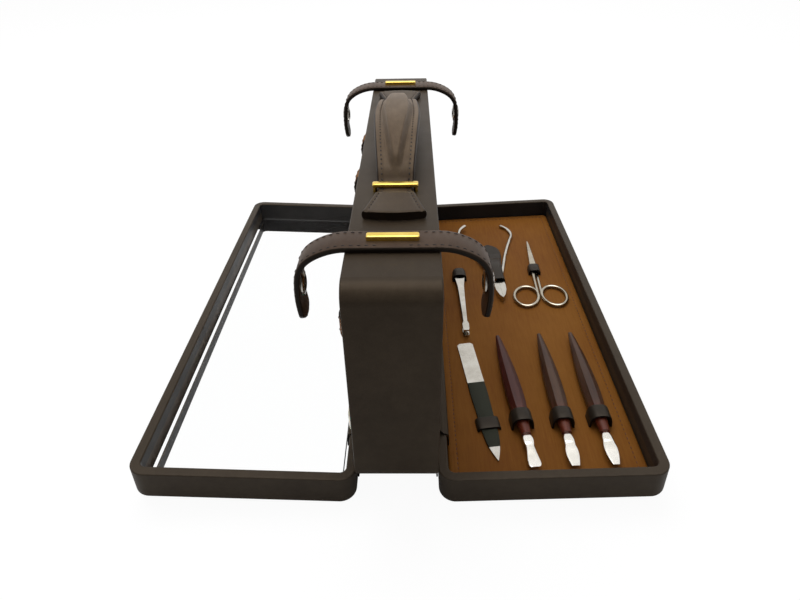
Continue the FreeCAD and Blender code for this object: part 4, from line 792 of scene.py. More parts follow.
def cross_straps():
    """Two straps, each of a left and a right half that meet under the bar."""
    profile = strap_path()
    for end, where in ENDS:
        for side, hand in SIDES:
            along = end * STRAP_ALONG
            path = [Vector((side * out, along, BODY_TOP + up)) for out, up in profile]
            dense = refine(path, 2)
            across = Vector((0, side, 0))
            vertices, faces = strip(dense, across, strap_width, STRAP_LEATHER_THICKNESS, STRAP_EDGE,
                                    bow=0.35, plies=True)
            piece = make_piece(f"strap_leather_{where}_{hand}", vertices, faces,
                               [STRAP_LEATHER, STRAP_EDGE_LEATHER, EDGE_LEATHER], "strap_leather",
                               sharp=50.0)
            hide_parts(f"strap_end_{where}_{hand}")
            if side == LEFT:
                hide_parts(f"strap_centre_{where}")
            bend_strap(piece)
            rows = []
            for row in (-1, 1):
                offset = row * (STRAP_WIDTH / 2 - 2.0)
                line = [point + Vector((0, offset, 0)) for point in dense[6:-9]]
                lifted = lift_path(line, across, STRAP_LEATHER_THICKNESS / 2 + 0.08)
                normals = list(zip(line, [high - low for low, high in zip(line, lifted)]))
                rows.append(stitches(lifted, lambda point, n=normals: nearest_normal(point, n),
                                     pitch=3.2, share=0.62, radius=0.28))
            seam = make_piece(f"strap_stitches_{where}_{hand}", *join(rows), [DARK_THREAD], "strap_leather")
            bend_strap(seam)


def bend_strap(piece):
    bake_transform(piece)


def nearest_normal(point, normals):
    """The normal that goes with the nearest of some (place, normal) pairs."""
    return min(normals, key=lambda pair: (pair[0] - point).length)[1].normalized()


def refine(path, times):
    """The path with points added between its own on a smooth curve."""
    for _ in range(times):
        denser = [path[0]]
        for number in range(len(path) - 1):
            before = path[max(number - 1, 0)]
            after = path[min(number + 2, len(path) - 1)]
            middle = (path[number] + path[number + 1]) * 9 / 16 - (before + after) / 16
            if number in (0, len(path) - 2):
                middle = (path[number] + path[number + 1]) / 2
            denser += [middle, path[number + 1]]
        path = denser
    return path


def lift_path(path, across, height):
    """The path moved off the strip's face."""
    lifted = []
    for number, point in enumerate(path):
        tangent = path[min(number + 1, len(path) - 1)] - path[max(number - 1, 0)]
        lifted.append(point + tangent.cross(across).normalized() * height)
    return lifted


# Leather of the hinges

def hinge_leathers():
    """Each hinge's outer leather and its inner gusset, curved round from the body to the tray."""
    length = HALF_LENGTH - 12.0
    inner = HALF_LENGTH - 29.0
    for side, hand in SIDES:
        outside = [(-12.0, -0.55), (-6.0, -0.55), (-2.5, -0.6), (-0.9, -1.3), (-0.45, -3.0), (-0.3, -7.0),
                   (-0.05, -12.0)]
        inside = [(-4.6, 6.5), (-2.4, 6.5), (-0.6, 6.1), (1.6, 3.4), (3.6, 1.0), (5.3, 0.4), (6.1, -0.8),
                  (6.3, -4.0), (6.5, -8.0)]
        for name, profile, half, node, turn in (
                ("hinge_leather", outside, length, f"hinge_leather_{hand}", (-1.6, 0.6)),
                ("gusset_leather", inside, inner, f"gusset_{hand}", (-1.2, 2.4))):
            path = [Vector((side * (HINGE_OUT + out), 0.0, HINGE_UP + up)) for out, up in profile]
            dense = refine(path, 1)
            vertices, faces = strip(dense, Vector((0, side, 0)), 2 * half, 0.8, 0.35)
            piece = make_piece(f"{name}_{hand}_bend", vertices, faces, [CASE_LEATHER, EDGE_LEATHER],
                               "case_leather" if name == "hinge_leather" else "strap_leather")
            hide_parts(node)
            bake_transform(piece)


# Mirror

LEFT_TRAY = Matrix.Scale(-1, 4, Vector((1, 0, 0))) @ TRAY


def mirror_plate():
    """The mirror: a plate with a cut groove just inside its polished border."""
    low, high = node_points(["mirror"], LEFT_TRAY)
    rings = ((0.0, low.z - high.z), (0.0, -0.35), (0.12, -0.1), (0.3, 0.0), (1.9, -0.36), (2.3, -0.05),
             (2.45, 0.0), (6.0, 0.0))
    sections = []
    for inset, height in rings:
        plan = rounded_plan(low, high, inset, 3.3)
        sections.append([Vector((x, y, high.z + height)) for x, y in plan])
    vertices, faces = loft(sections)
    piece = make_piece("mirror_glass", vertices, faces, [MIRROR], "mirror", LEFT_TRAY, sharp=3.0)
    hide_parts("mirror")
    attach(piece, "left_tray")


# Tool panel

def rounded_plan(low, high, inset, radius, steps=5):
    """A rounded rectangle inside two corners, as points, and always as many."""
    radius = max(radius - inset, 0.3)
    points = []
    for x, y, start in ((1, 0, -90), (1, 1, 0), (0, 1, 90), (0, 0, 180)):
        centre_x = (high.x - inset - radius) if x else (low.x + inset + radius)
        centre_y = (high.y - inset - radius) if y else (low.y + inset + radius)
        for step in range(steps + 1):
            angle = math.radians(start + 90 * step / steps)
            points.append((centre_x + radius * math.cos(angle), centre_y + radius * math.sin(angle)))
    return points


PANEL_SEAM = 5.0


def tool_panel():
    """The padded panel that carries the tools: rolled edges and a stitched groove inside them."""
    top = PANEL_HIGH.z
    rings = ((0.0, PANEL_LOW.z - top), (0.0, -1.3), (0.15, -0.8), (0.5, -0.35), (1.2, -0.1), (2.2, 0.0),
             (PANEL_SEAM - 1.0, 0.0), (PANEL_SEAM - 0.4, -0.05), (PANEL_SEAM, -0.14),
             (PANEL_SEAM + 0.4, -0.05), (PANEL_SEAM + 1.0, 0.0), (PANEL_SEAM + 3.0, 0.0))
    sections = []
    for inset, height in rings:
        plan = rounded_plan(PANEL_LOW, PANEL_HIGH, inset, 3.3)
        sections.append([Vector((x, y, top + height)) for x, y in plan])
    vertices, faces = loft(sections)
    piece = make_piece("panel_leather", vertices, faces, [TAN_LEATHER], "tan_leather", TRAY, sharp=60.0)
    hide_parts("tool_panel")
    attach(piece, "right_tray")
    line = [Vector((x, y, top - 0.12)) for x, y in rounded_plan(PANEL_LOW, PANEL_HIGH, PANEL_SEAM, 6.0)]
    line.append(line[0])
    vertices, faces = stitches(line, (0, 0, 1), pitch=3.2, radius=0.24)
    seam = make_piece("panel_stitches", vertices, faces, [TAN_THREAD], "tan_leather", TRAY)
    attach(seam, "right_tray")


# Loops, cap and flap that hold the tools

SKIN = 1.2


def leather_loop(name, axes, middle, width, height, band, node, boxy=0.5):
    """A loop over a tool, sewn down close beside it."""
    half = width / 2 + SKIN / 2 + 0.15
    tall = height + SKIN / 2 + 0.15
    path = [Vector((half + 0.2, middle, 0.0))]
    steps = 16
    for step in range(steps + 1):
        angle = math.pi * step / steps
        x = half * math.copysign(abs(math.cos(angle)) ** boxy, math.cos(angle))
        path.append(Vector((x, middle, 0.6 + (tall - 0.6) * math.sin(angle) ** (boxy + 0.1))))
    path.append(Vector((-half - 0.2, middle, 0.0)))
    vertices, faces = strip(refine(path, 1), Vector((0, -1, 0)), band, SKIN, 0.4, bow=0.12)
    piece = make_piece(name, vertices, faces, [LOOP_LEATHER, EDGE_LEATHER], "loop_leather", axes)
    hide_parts(node)
    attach(piece, "right_tray")


FILE_AXES = tool_axes(["nail_file"], "file_draw", "low")
TWEEZERS_AXES = tool_axes(["tweezers_lower_arm"], "tweezers_draw", "low")
NIPPERS_AXES = tool_axes(["nippers_lower_half", "nippers_upper_half"], "nippers_draw", "low")
SCISSORS_AXES = tool_axes(["scissors_lower_half", "scissors_upper_half"], "scissors_draw", "high")
IMPLEMENT_AXES = [tool_axes([f"implement_{n}_handle", f"implement_{n}_blade"], f"implement_{n}_draw", "low")
                  for n in (1, 2, 3)]


def tool_loops():
    leather_loop("file_loop", FILE_AXES, 26.0, 10.3, 1.4, 8.5, "tool_loops")
    for number, axes in enumerate(IMPLEMENT_AXES, start=1):
        leather_loop(f"implement_loop_{number}", axes, 33.2, 9.6, 7.2, 9.0, "tool_loops",
                     0.66)
    leather_loop("scissors_sleeve", SCISSORS_AXES, -43.6, 6.0, 3.5, 9.5, "scissors_loop")


def tweezers_cap():
    """A domed leather cap over the tweezers' wide end."""
    low, high = node_points(["tweezers_cap"], TWEEZERS_AXES)
    middle = (low.x + high.x) / 2
    half = (high.x - low.x) / 2
    sections = []
    stations = 12
    for step in range(stations + 1):
        share = step / stations
        y = low.y + (high.y - low.y) * share
        close = math.sqrt(max(1 - (max(share - 0.42, 0) / 0.58) ** 2.8 * 0.88, 0.0))
        wide = half * close
        tall = high.z * (0.35 + 0.65 * close)
        ring = []
        for number in range(17):
            angle = math.pi * number / 16
            x = wide * math.copysign(abs(math.cos(angle)) ** 0.58, math.cos(angle))
            ring.append(Vector((middle + x, y, tall * math.sin(angle) ** 0.62)))
        sections.append(ring)
    vertices, faces = loft(sections, closed_ends=False)
    last = stations * 17
    faces.append((tuple(range(last, last + 17)), 0))
    inner = []
    for point in sections[0]:
        inner.append(Vector((middle + (point.x - middle) * 0.9, point.y, max(point.z - 0.6, 0.05))))
    deep = [Vector((point.x, point.y + 6.0, point.z)) for point in inner]
    vertices, faces = join([(vertices, faces), loft([sections[0], inner, deep], lambda row, column: 1,
                                                    closed_ends=False)])
    piece = make_piece("tweezers_cap_leather", vertices, faces, [LOOP_LEATHER, EDGE_LEATHER], "loop_leather",
                       TWEEZERS_AXES, sharp=55.0)
    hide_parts("tweezers_cap")
    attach(piece, "right_tray")


def nippers_flap():
    """The flap over the nippers: a round sewn crown, then a narrowing sheath over the screw."""
    low, high = node_points(["nippers_flap"], NIPPERS_AXES)
    middle = (low.x + high.x) / 2
    length = high.y - low.y + 2.6
    widths = ((0.0, 5.0), (0.25, 5.3), (0.5, 6.6), (0.66, 8.2), (0.78, 8.6), (0.89, 7.6), (0.97, 4.4), (1.0, 1.4))
    heights = ((0.0, high.z), (0.3, high.z), (0.48, high.z * 0.72), (0.6, high.z * 0.3), (0.72, 1.0),
               (1.0, 0.9))
    sections = []
    stations = 30
    for step in range(stations + 1):
        share = step / stations
        half = curve_through(widths, share)
        tall = max(curve_through(heights, share), 0.9)
        step_up = 0.45 * smooth((0.72 - share) / 0.02)
        ring = []
        for number in range(19):
            angle = math.pi * number / 18
            x = half * math.copysign(abs(math.cos(angle)) ** 0.6, math.cos(angle))
            rise = math.sin(angle) ** 0.5
            ring.append(Vector((middle + x, low.y + length * share, (tall + step_up) * rise + 0.05)))
        sections.append(ring)
    vertices, faces = loft(sections, closed_ends=False)
    faces.append((tuple(range(stations * 19, (stations + 1) * 19)), 0))
    inner = []
    for point in sections[0]:
        inner.append(Vector((middle + (point.x - middle) * 0.9, point.y, max(point.z - 0.8, 0.02))))
    deep = [Vector((point.x, point.y + 8.0, point.z)) for point in inner]
    mouth = loft([sections[0], inner, deep], lambda row, column: 1, closed_ends=False)
    piece = make_piece("nippers_sheath", *join([(vertices, faces), mouth]), [LOOP_LEATHER, EDGE_LEATHER],
                       "loop_leather", NIPPERS_AXES, sharp=55.0)
    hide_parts("nippers_flap")
    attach(piece, "right_tray")


# Scissors

SCISSORS_SCREW = -42.0
SCISSORS_PLATE = 1.4
RING_ALONG = -77.85
RING_OUT = 9.85
RING_HALF_WIDTH = 8.5
RING_HALF_LENGTH = 12.0
RING_WIRE = 1.15
RING_TURN = math.radians(6.0)
# Along from the tip, out, half width, half thickness, and roundness of the section
SCISSORS_HALF = ((-0.1, 0.0, 0.25, 0.25, 0.8), (-2.0, 0.0, 0.55, 0.45, 0.7), (-6.3, 0.0, 0.95, 0.55, 0.5),
                 (-18.0, 0.0, 1.5, 0.65, 0.4), (-29.4, 0.0, 2.03, 0.7, 0.4), (-38.0, 0.0, 2.45, 0.7, 0.4),
                 (-42.0, 0.0, 2.6, 0.7, 0.4), (-45.5, 0.15, 2.45, 0.7, 0.4), (-47.5, 0.75, 1.85, 0.7, 0.45),
                 (-49.5, 1.25, 1.2, 0.7, 0.55), (-52.0, 1.42, 0.98, 0.8, 0.75), (-57.0, 1.42, 0.92, 0.9, 0.95),
                 (-64.0, 1.40, 0.95, 0.95, 1.0), (-71.0, 1.37, 1.05, 1.05, 1.0),
                 (-76.5, 1.36, 1.12, 1.12, 1.0))


def scissors_halves():
    """Two halves that cross at the screw: ground blade, flat boss, round shank and oval ring."""
    ring_height = 0.1 + SCISSORS_PLATE + 0.05
    for hand, name, body, base in ((1, "scissors_lower_half", "scissors_moving_half", 0.1),
                                   (-1, "scissors_upper_half", "scissors", 0.2 + SCISSORS_PLATE)):
        sections = []
        for along, out, half, thick, roundness in SCISSORS_HALF:
            lower = smooth((SCISSORS_SCREW - 6 - along) / 12)
            height = (base + SCISSORS_PLATE / 2) * (1 - lower) + ring_height * lower
            ring = []
            for turn in range(16):
                angle = math.tau * (turn + 0.5) / 16
                x = half * math.copysign(abs(math.cos(angle)) ** roundness, math.cos(angle))
                z = thick * math.copysign(abs(math.sin(angle)) ** roundness, math.sin(angle))
                ring.append(Vector((hand * out + x, along, height + z)))
            sections.append(ring)
        hoop = []
        for number in range(57):
            angle = math.tau * (number % 56) / 56
            spine = Vector((RING_HALF_WIDTH * math.cos(angle), RING_HALF_LENGTH * math.sin(angle), 0))
            heading = Vector((-RING_HALF_WIDTH * math.sin(angle), RING_HALF_LENGTH * math.cos(angle), 0))
            away = heading.normalized().cross(Vector((0, 0, 1)))
            lean = Matrix.Rotation(hand * RING_TURN, 3, "Z")
            centre = Vector((hand * RING_OUT, RING_ALONG, ring_height)) + lean @ spine
            away = lean @ away
            hoop.append([centre + away * RING_WIRE * math.cos(turn * math.tau / 12)
                         + Vector((0, 0, RING_WIRE * math.sin(turn * math.tau / 12))) for turn in range(12)])
        parts = [loft(sections), loft(hoop, closed_ends=False)]
        piece = make_piece(name.replace("half", "piece"), *join(parts), [NICKEL], "steel", SCISSORS_AXES)
        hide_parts(name)
        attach(piece, body)


# Implement blades

BLADES = {
    # half widths by share of the length from the tip
    1: ((0.0, 2.1), (0.035, 2.9), (0.1, 3.3), (0.3, 2.9), (0.52, 2.4), (0.64, 2.3), (0.7, 2.6),
        (0.82, 3.0), (0.93, 2.6), (1.0, 1.6)),
    2: ((0.0, 2.0), (0.08, 2.4), (0.3, 3.2), (0.48, 3.2), (0.62, 2.7), (0.7, 2.75), (0.8, 2.85),
        (0.9, 2.4), (1.0, 1.5)),
    3: ((0.0, 1.6), (0.08, 2.1), (0.3, 3.05), (0.5, 3.35), (0.66, 3.0), (0.74, 2.85), (0.84, 2.7),
        (0.93, 2.1), (1.0, 1.4)),
}
BLADE_THICKNESS = 1.1


def implement_blades():
    """Flat polished blades: a rounded heel with a groove before it, and a thin worked end."""
    for number, widths in BLADES.items():
        axes = IMPLEMENT_AXES[number - 1]
        low, high = node_points([f"implement_{number}_blade"], axes)
        middle = (low.x + high.x) / 2
        centre = (low.z + high.z) / 2
        length = high.y - low.y
        sections = []
        stations = 34
        for step in range(stations + 1):
            share = step / stations
            half = curve_through(widths, share)
            thick = BLADE_THICKNESS / 2 * (0.35 + 0.65 * smooth(share / 0.55))
            thick *= 1 + 0.35 * smooth((share - 0.66) / 0.1)
            dish = 0.35 * math.exp(-((share - 0.34) / 0.2) ** 2)
            ring = []
            for turn in range(20):
                angle = math.tau * turn / 20
                x = half * math.copysign(abs(math.cos(angle)) ** 0.6, math.cos(angle))
                z = thick * math.copysign(abs(math.sin(angle)) ** 0.8, math.sin(angle))
                hollow = dish * (1 - (x / half) ** 2) if z > 0 else 0.0
                ring.append(Vector((middle + x, low.y + length * share, centre + z - hollow * thick)))
            sections.append(ring)
        vertices, faces = loft(sections)
        piece = make_piece(f"blade_{number}", vertices, faces, [BRIGHT_STEEL], "steel", axes, sharp=35.0)
        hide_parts(f"implement_{number}_blade")
        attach(piece, f"implement_{number}")


# Implement handles

HANDLE_WIDTHS = ((0.0, 0.50), (0.06, 0.58), (0.11, 0.66), (0.18, 0.82), (0.26, 0.96), (0.36, 1.0),
                 (0.5, 0.96), (0.64, 0.84), (0.78, 0.66), (0.9, 0.45), (0.97, 0.32), (1.0, 0.24))
FACETS = 8


def implement_handles():
    """Faceted handles, full in the middle, that taper to a blunt tail and to a round neck."""
    for number, axes in enumerate(IMPLEMENT_AXES, start=1):
        name = f"implement_{number}_handle"
        low, high = node_points([name], axes)
        middle = (low.x + high.x) / 2
        half = (high.x - low.x) / 2
        rise = (high.z - low.z) / 2
        centre = (low.z + high.z) / 2
        sections = []
        stations = 60
        for step in range(stations + 1):
            share = step / stations
            size = curve_through(HANDLE_WIDTHS, share)
            faceted = smooth((share - 0.1) / 0.1)
            ring = []
            for turn in range(FACETS * 5):
                angle = math.tau * (turn + 0.5) / (FACETS * 5)
                inside = (angle + math.tau / FACETS / 2) % (math.tau / FACETS) - math.tau / FACETS / 2
                flat = math.cos(math.tau / FACETS / 2) / math.cos(inside)
                reach = 1 + (min(flat * 1.012, 1.0) - 1) * faceted
                ring.append(Vector((middle + half * size * reach * math.cos(angle),
                                    low.y + (high.y - low.y) * share,
                                    centre + rise * size * reach * math.sin(angle))))
            sections.append(ring)
        vertices, faces = loft(sections)
        piece = make_piece(f"resin_handle_{number}", vertices, faces,
                           [RED_RESIN if number == 1 else RESIN], "handle_resin", axes, sharp=20.0)
        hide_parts(name)
        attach(piece, f"implement_{number}")


# The file's grit

def outline_at(points, y):
    """The least and greatest x of a CAD mesh's edges where they cross y."""
    places = []
    for start, end in points:
        if (start.y - y) * (end.y - y) <= 0 and abs(start.y - end.y) > 1e-6:
            share = (y - start.y) / (end.y - start.y)
            places.append(start.x + (end.x - start.x) * share)
    return min(places), max(places)


def file_grit():
    """The dark cut face, which goes round the file's edges."""
    back = FILE_AXES.inverted()
    mesh = NODES["nail_file"].data
    points = [back @ (vertex.co / MM) for vertex in mesh.vertices]
    edges = [(points[edge.vertices[0]], points[edge.vertices[1]]) for edge in mesh.edges]
    low, high = node_points(["nail_file_abrasive"], FILE_AXES)
    base, top = node_points(["nail_file"], FILE_AXES)
    skin = 0.06
    sections = []
    stations = 40
    for step in range(stations + 1):
        y = low.y + (high.y - low.y) * step / stations
        left, right = outline_at(edges, y)
        middle = (left + right) / 2
        section = []
        for x, z in flat_section(right - left + 2 * skin, high.z - base.z + skin, 0.15, 2):
            section.append(Vector((middle + x, y, (high.z + base.z) / 2 + z)))
        sections.append(section)
    vertices, faces = loft(sections)
    piece = make_piece("file_grit", vertices, faces, [ABRASIVE], "abrasive", FILE_AXES)
    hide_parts("nail_file_abrasive")
    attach(piece, "file")


# Bands that hold the contents

def islands(name):
    """The boxes of a node's separate solids, in millimetres."""
    mesh = NODES[name].data
    keys = [tuple(round(value, 6) for value in vertex.co) for vertex in mesh.vertices]
    parent = {key: key for key in keys}

    def root(key):
        while parent[key] != key:
            parent[key] = parent[parent[key]]
            key = parent[key]
        return key

    for edge in mesh.edges:
        parent[root(keys[edge.vertices[0]])] = root(keys[edge.vertices[1]])
    groups = {}
    for key in keys:
        groups.setdefault(root(key), []).append(Vector(key) / MM)
    boxes = []
    for points in groups.values():
        boxes.append((Vector([min(point[axis] for point in points) for axis in range(3)]),
                      Vector([max(point[axis] for point in points) for axis in range(3)])))
    return sorted(boxes, key=lambda box: tuple(box[0]))


BAND_SKIN = 1.0


def retainer_bands():
    """Leather bands sewn to the partition, each round one of the contents."""
    for number, (low, high) in enumerate(islands("retainers")):
        size = high - low
        upright = size.y > size.z
        if upright:
            width = size.z
            across = Vector((0, 0, 1))
            out = Vector((0, 1, 0))
            reach = (size.y - BAND_SKIN) / 2
        else:
            width = size.y
            across = Vector((0, -1, 0))
            out = Vector((0, 0, 1))
            reach = (size.z - BAND_SKIN) / 2
        middle = (low + high) / 2
        centre = Vector((low.x + BAND_SKIN / 2 + reach, middle.y, middle.z))
        path = [Vector((high.x, middle.y, middle.z)) + out * reach, (centre + out * reach).lerp(
            Vector((high.x, middle.y, middle.z)) + out * reach, 0.5)]
        steps = 24
        for step in range(steps + 1):
            angle = math.pi * step / steps
            path.append(centre + out * reach * math.cos(angle) - Vector((1, 0, 0)) * reach * math.sin(angle))
        path += [(centre - out * reach).lerp(Vector((high.x, middle.y, middle.z)) - out * reach, 0.5),
                 Vector((high.x, middle.y, middle.z)) - out * reach]
        vertices, faces = strip(path, across, width, BAND_SKIN, 0.3)
        piece = make_piece(f"retainer_band_{number + 1}", vertices, faces, [TAN_LEATHER, EDGE_LEATHER],
                           "loop_leather")
        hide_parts("retainers")
        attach(piece, "case_body")
        rows = []
        for side in (-1, 1):
            line = [point + across * side * (width / 2 - 1.5) for point in path[1:-1]]
            rows.append(stitches(lift_path(line, across, BAND_SKIN / 2 + 0.05),
                                 lambda point, c=centre: point - c, pitch=3.0, radius=0.22))
        seam = make_piece(f"retainer_stitches_{number + 1}", *join(rows), [TAN_THREAD], "loop_leather")
        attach(seam, "case_body")


# Bristles

def strand(base, tip, radius, sides=4):
    """A thin tapered strand with a slight bend."""
    heading = (tip - base).normalized()
    side = heading.orthogonal().normalized()
    other = heading.cross(side)
    bend = side * (tip - base).length * 0.03
    sections = []
    for share, size in ((0.0, 1.0), (0.55, 0.9), (1.0, 0.45)):
        centre = base.lerp(tip, share) + bend * math.sin(share * math.pi)
        sections.append([centre + (side * math.cos(turn * math.tau / sides)
                                   + other * math.sin(turn * math.tau / sides)) * radius * size
                         for turn in range(sides)])
    return loft(sections)


def brush_bristles():
    """Tufts set in rows in the nail brush and the hair brush, and the shaving brush's full knot."""
    rng = random.Random(11)
    low, high = [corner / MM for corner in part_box("nail_brush_bristles")]
    tufts = []
    for x, y in tuft_grid(low.x, high.x, low.y, high.y, 3.6, 6.0):
        tufts += tuft(Vector((x, y, high.z)), Vector((0, 0, -1)), high.z - low.z - 0.4, 1.1, 12, rng)
    piece = make_piece("nail_brush_tufts", *join(tufts), [BRISTLE], "bristle", sharp=70.0)
    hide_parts("nail_brush_bristles")
    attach(piece, "case_body")

    low, high = [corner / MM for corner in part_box("hair_brush_bristles")]
    tufts = []
    middle_y = (low.y + high.y) / 2
    middle_z = (low.z + high.z) / 2
    for y, z in tuft_grid(low.y, high.y, low.z, high.z, 5.2, 1e9):
        reach = ((y - middle_y) / (high.y - middle_y)) ** 4 + ((z - middle_z) / (high.z - middle_z)) ** 4
        if reach < 0.9:
            tufts += tuft(Vector((low.x, y, z)), Vector((1, 0, 0)), high.x - low.x - 0.4, 1.3, 9, rng)
    piece = make_piece("hair_brush_tufts", *join(tufts), [BRISTLE], "bristle", sharp=70.0)
    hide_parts("hair_brush_bristles")
    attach(piece, "case_body")

    low, high = [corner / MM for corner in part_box("shaving_brush_bristles")]
    centre = (low + high) / 2
    radius = (high.x - low.x) / 2
    strands = []
    for number in range(900):
        angle = rng.uniform(0, math.tau)
        reach = math.sqrt(rng.random())
        out = Vector((math.cos(angle), math.sin(angle), 0))
        base = Vector((centre.x, centre.y, high.z)) + out * radius * 0.62 * reach
        depth = (high.z - low.z) * (0.62 + 0.38 * math.sqrt(1 - 0.9 * reach ** 2))
        tip = Vector((centre.x, centre.y, high.z - depth)) + out * radius * 0.93 * reach
        strands.append(strand(base, tip, 0.28))
    piece = make_piece("shaving_brush_knot", *join(strands), [BRISTLE], "bristle", sharp=70.0)
    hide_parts("shaving_brush_bristles")
    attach(piece, "case_body")


def tuft_grid(low_a, high_a, low_b, high_b, pitch, corner):
    """Places of tufts inside a rectangle with cut corners."""
    places = []
    columns = int((high_a - low_a - pitch) / pitch)
    rows = int((high_b - low_b - pitch) / pitch)
    for column in range(columns + 1):
        for row in range(rows + 1):
            a = (low_a + high_a) / 2 + (column - columns / 2) * pitch
            b = (low_b + high_b) / 2 + (row - rows / 2) * pitch
            edge_a = min(a - low_a, high_a - a)
            edge_b = min(b - low_b, high_b - b)
            if corner > 1e6 or edge_a + edge_b > corner:
                places.append((a, b))
    return places


def tuft(base, heading, length, radius, count, rng):
    side = heading.orthogonal().normalized()
    other = heading.cross(side)
    strands = []
    for _ in range(count):
        angle = rng.uniform(0, math.tau)
        reach = radius * math.sqrt(rng.random())
        offset = side * math.cos(angle) * reach + other * math.sin(angle) * reach
        tip = base + offset * 1.5 + heading * length * rng.uniform(0.93, 1.0)
        strands.append(strand(base + offset * 0.8, tip, 0.22))
    return strands


# Finish of the CAD nodes that stay

def finish_nodes():
    finishes = {
        "body_shell": CASE_LEATHER, "left_tray_shell": TRAY_LEATHER, "right_tray_shell": TRAY_LEATHER,
        "body_lining": LINING, "partition": TAN_LEATHER,
        "strap_bars": BRASS, "handle_keepers": BRASS, "left_snap_studs": BRASS, "right_snap_studs": BRASS,
        "nail_file": STEEL,
        "tweezers_lower_arm": STEEL, "tweezers_upper_arm": STEEL,
        "nippers_lower_half": STEEL, "nippers_upper_half": STEEL, "nippers_screw": STEEL,
        "scissors_lower_half": NICKEL, "scissors_upper_half": NICKEL, "scissors_screw": STEEL,
        "shaving_brush_handle": IVORINE, "nail_brush_back": IVORINE, "hair_brush_back": WOOD,
        "toothbrush_tube": CELLULOID, "toothbrush_tube_cap": CELLULOID,
        "bottle_front": GLASS, "bottle_rear": GLASS, "bottle_cap_front": STEEL, "bottle_cap_rear": STEEL,
    }
    for _, where in ENDS:
        for _, hand in SIDES:
            finishes[f"snap_socket_{where}_{hand}"] = STEEL
    for name, material in finishes.items():
        NODES[name].data.materials.clear()
        NODES[name].data.materials.append(material)


# Stage, light and camera

def stage():
    mesh = bpy.data.meshes.new("floor")
    reach = 6.0
    mesh.from_pydata([(-reach, -reach, 0), (reach, -reach, 0), (reach, reach, 0), (-reach, reach, 0)], [],
                     [(0, 1, 2, 3)])
    floor = bpy.data.objects.new("floor", mesh)
    bpy.context.scene.collection.objects.link(floor)
    material = bpy.data.materials.new("pale_floor")
    material.use_nodes = True
    tree = material.node_tree
    tree.nodes.clear()
    tone = noise_of(tree, place_of(tree), 3.0)
    paper = add(tree, "BsdfDiffuse", {"Color": ramp(tree, tone, ((0.0, (0.86, 0.86, 0.86)),
                                                                 (1.0, (0.90, 0.90, 0.90))))})
    white = add(tree, "Emission", {"Color": (1, 1, 1, 1), "Strength": 1.05})
    path = add(tree, "LightPath")
    seen = add(tree, "Math", {0: path.outputs["Is Camera Ray"], 1: path.outputs["Is Transmission Ray"]},
               operation="MAXIMUM")
    share = add(tree, "Math", {0: seen.outputs[0], 1: 0.9}, operation="MULTIPLY")
    both = add(tree, "MixShader", {0: share.outputs[0], 1: paper.outputs[0], 2: white.outputs[0]})
    add(tree, "OutputMaterial", {"Surface": both.outputs[0]})
    mesh.materials.append(material)


AMBIENT = 0.36


def area_light(name, place, target, width, depth, power):
    data = bpy.data.lights.new(name, "AREA")
    data.shape = "RECTANGLE"
    data.size = width
    data.size_y = depth
    data.energy = power
    lamp = bpy.data.objects.new(name, data)
    lamp.visible_glossy = False
    lamp.location = place
    lamp.rotation_euler = (Vector(target) - Vector(place)).to_track_quat("-Z", "Y").to_euler()
    bpy.context.scene.collection.objects.link(lamp)


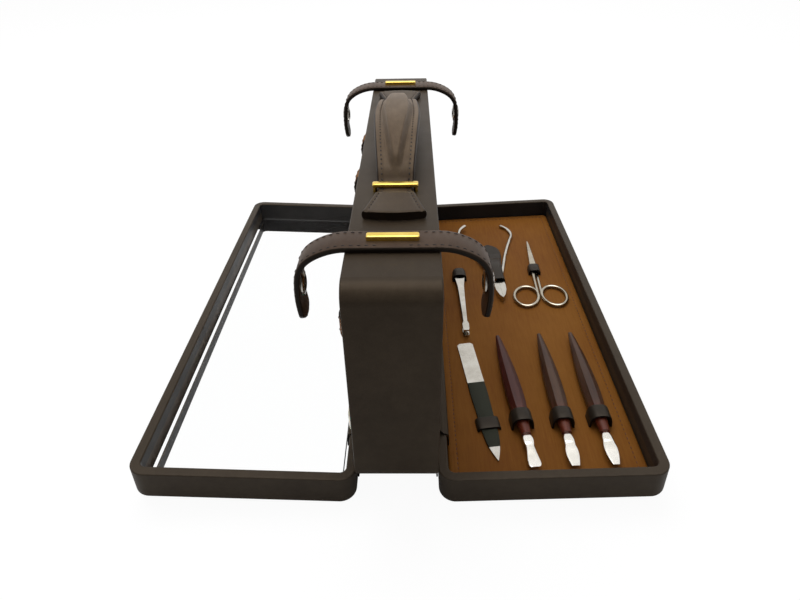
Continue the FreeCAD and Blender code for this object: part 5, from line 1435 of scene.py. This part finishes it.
def light():
    world = bpy.data.worlds.new("studio")
    world.use_nodes = True
    bpy.context.scene.world = world
    tree = world.node_tree
    tree.nodes.clear()
    path = add(tree, "LightPath")
    white = add(tree, "Math", {0: path.outputs["Is Camera Ray"], 1: path.outputs["Is Transmission Ray"]},
                operation="MAXIMUM")
    # In reflections the studio is white behind and above the object and dimmer in front of it
    where = add(tree, "TexCoord")
    parts = add(tree, "SeparateXYZ", {0: where.outputs["Generated"]})
    height = add(tree, "Math", {0: parts.outputs["Z"], 1: 0.55, 2: parts.outputs["Y"]},
                 operation="MULTIPLY_ADD")
    studio = add(tree, "MapRange", {"Value": height.outputs[0], "From Min": -0.35, "From Max": 0.3,
                                    "To Min": 0.4, "To Max": 1.0}, interpolation_type="SMOOTHSTEP")
    box = add(tree, "MapRange", {"Value": parts.outputs["Z"], "From Min": 0.84, "From Max": 0.93,
                                 "To Min": 0.0, "To Max": 4.0}, interpolation_type="SMOOTHSTEP")
    seen = add(tree, "Math", {0: studio.outputs["Result"], 1: box.outputs["Result"]}, operation="ADD")
    gloss = add(tree, "Mix", {"Factor": path.outputs["Is Glossy Ray"], "A": AMBIENT,
                              "B": seen.outputs[0]}, data_type="FLOAT")
    strength = add(tree, "Mix", {"Factor": white.outputs[0], "A": gloss.outputs["Result"], "B": 1.0},
                   data_type="FLOAT")
    sky = add(tree, "Background", {"Color": (1, 1, 1, 1), "Strength": strength.outputs["Result"]})
    add(tree, "OutputWorld", {"Surface": sky.outputs[0]})
    area_light("overhead", (-0.25, 0.55, 1.25), (0, 0, 0.05), 1.3, 0.9, 12.0)


CAMERA_PLACE = (8.20, -332.61, 253.27)
CAMERA_YAW = math.radians(-1.523)
CAMERA_PITCH = math.radians(35.125)
CAMERA_ROLL = math.radians(-1.232)
FOCAL_PIXELS = 590.05
IMAGE_WIDTH = 800
SENSOR = 36.0


def camera():
    forward = Vector((math.sin(CAMERA_YAW) * math.cos(CAMERA_PITCH),
                      math.cos(CAMERA_YAW) * math.cos(CAMERA_PITCH), -math.sin(CAMERA_PITCH)))
    level = Vector((math.cos(CAMERA_YAW), -math.sin(CAMERA_YAW), 0))
    upright = level.cross(forward)
    right = math.cos(CAMERA_ROLL) * level + math.sin(CAMERA_ROLL) * upright
    up = math.cos(CAMERA_ROLL) * upright - math.sin(CAMERA_ROLL) * level
    turned = Matrix((right, up, -forward)).transposed().to_4x4()
    data = bpy.data.cameras.new("camera")
    data.sensor_width = SENSOR
    data.lens = FOCAL_PIXELS / IMAGE_WIDTH * SENSOR
    data.clip_start = 0.01
    data.clip_end = 50.0
    eye = bpy.data.objects.new("camera", data)
    eye.matrix_world = Matrix.Translation(Vector(CAMERA_PLACE) * MM) @ turned
    bpy.context.scene.collection.objects.link(eye)
    bpy.context.scene.camera = eye


bpy.context.scene.view_settings.view_transform = "Standard"
camera()
stage()
light()
finish_nodes()
carrying_handle()
keeper_bars()
cross_straps()
hinge_leathers()
mirror_plate()
tool_panel()
tool_loops()
tweezers_cap()
nippers_flap()
scissors_halves()
implement_handles()
implement_blades()
file_grit()
retainer_bands()
brush_bristles()
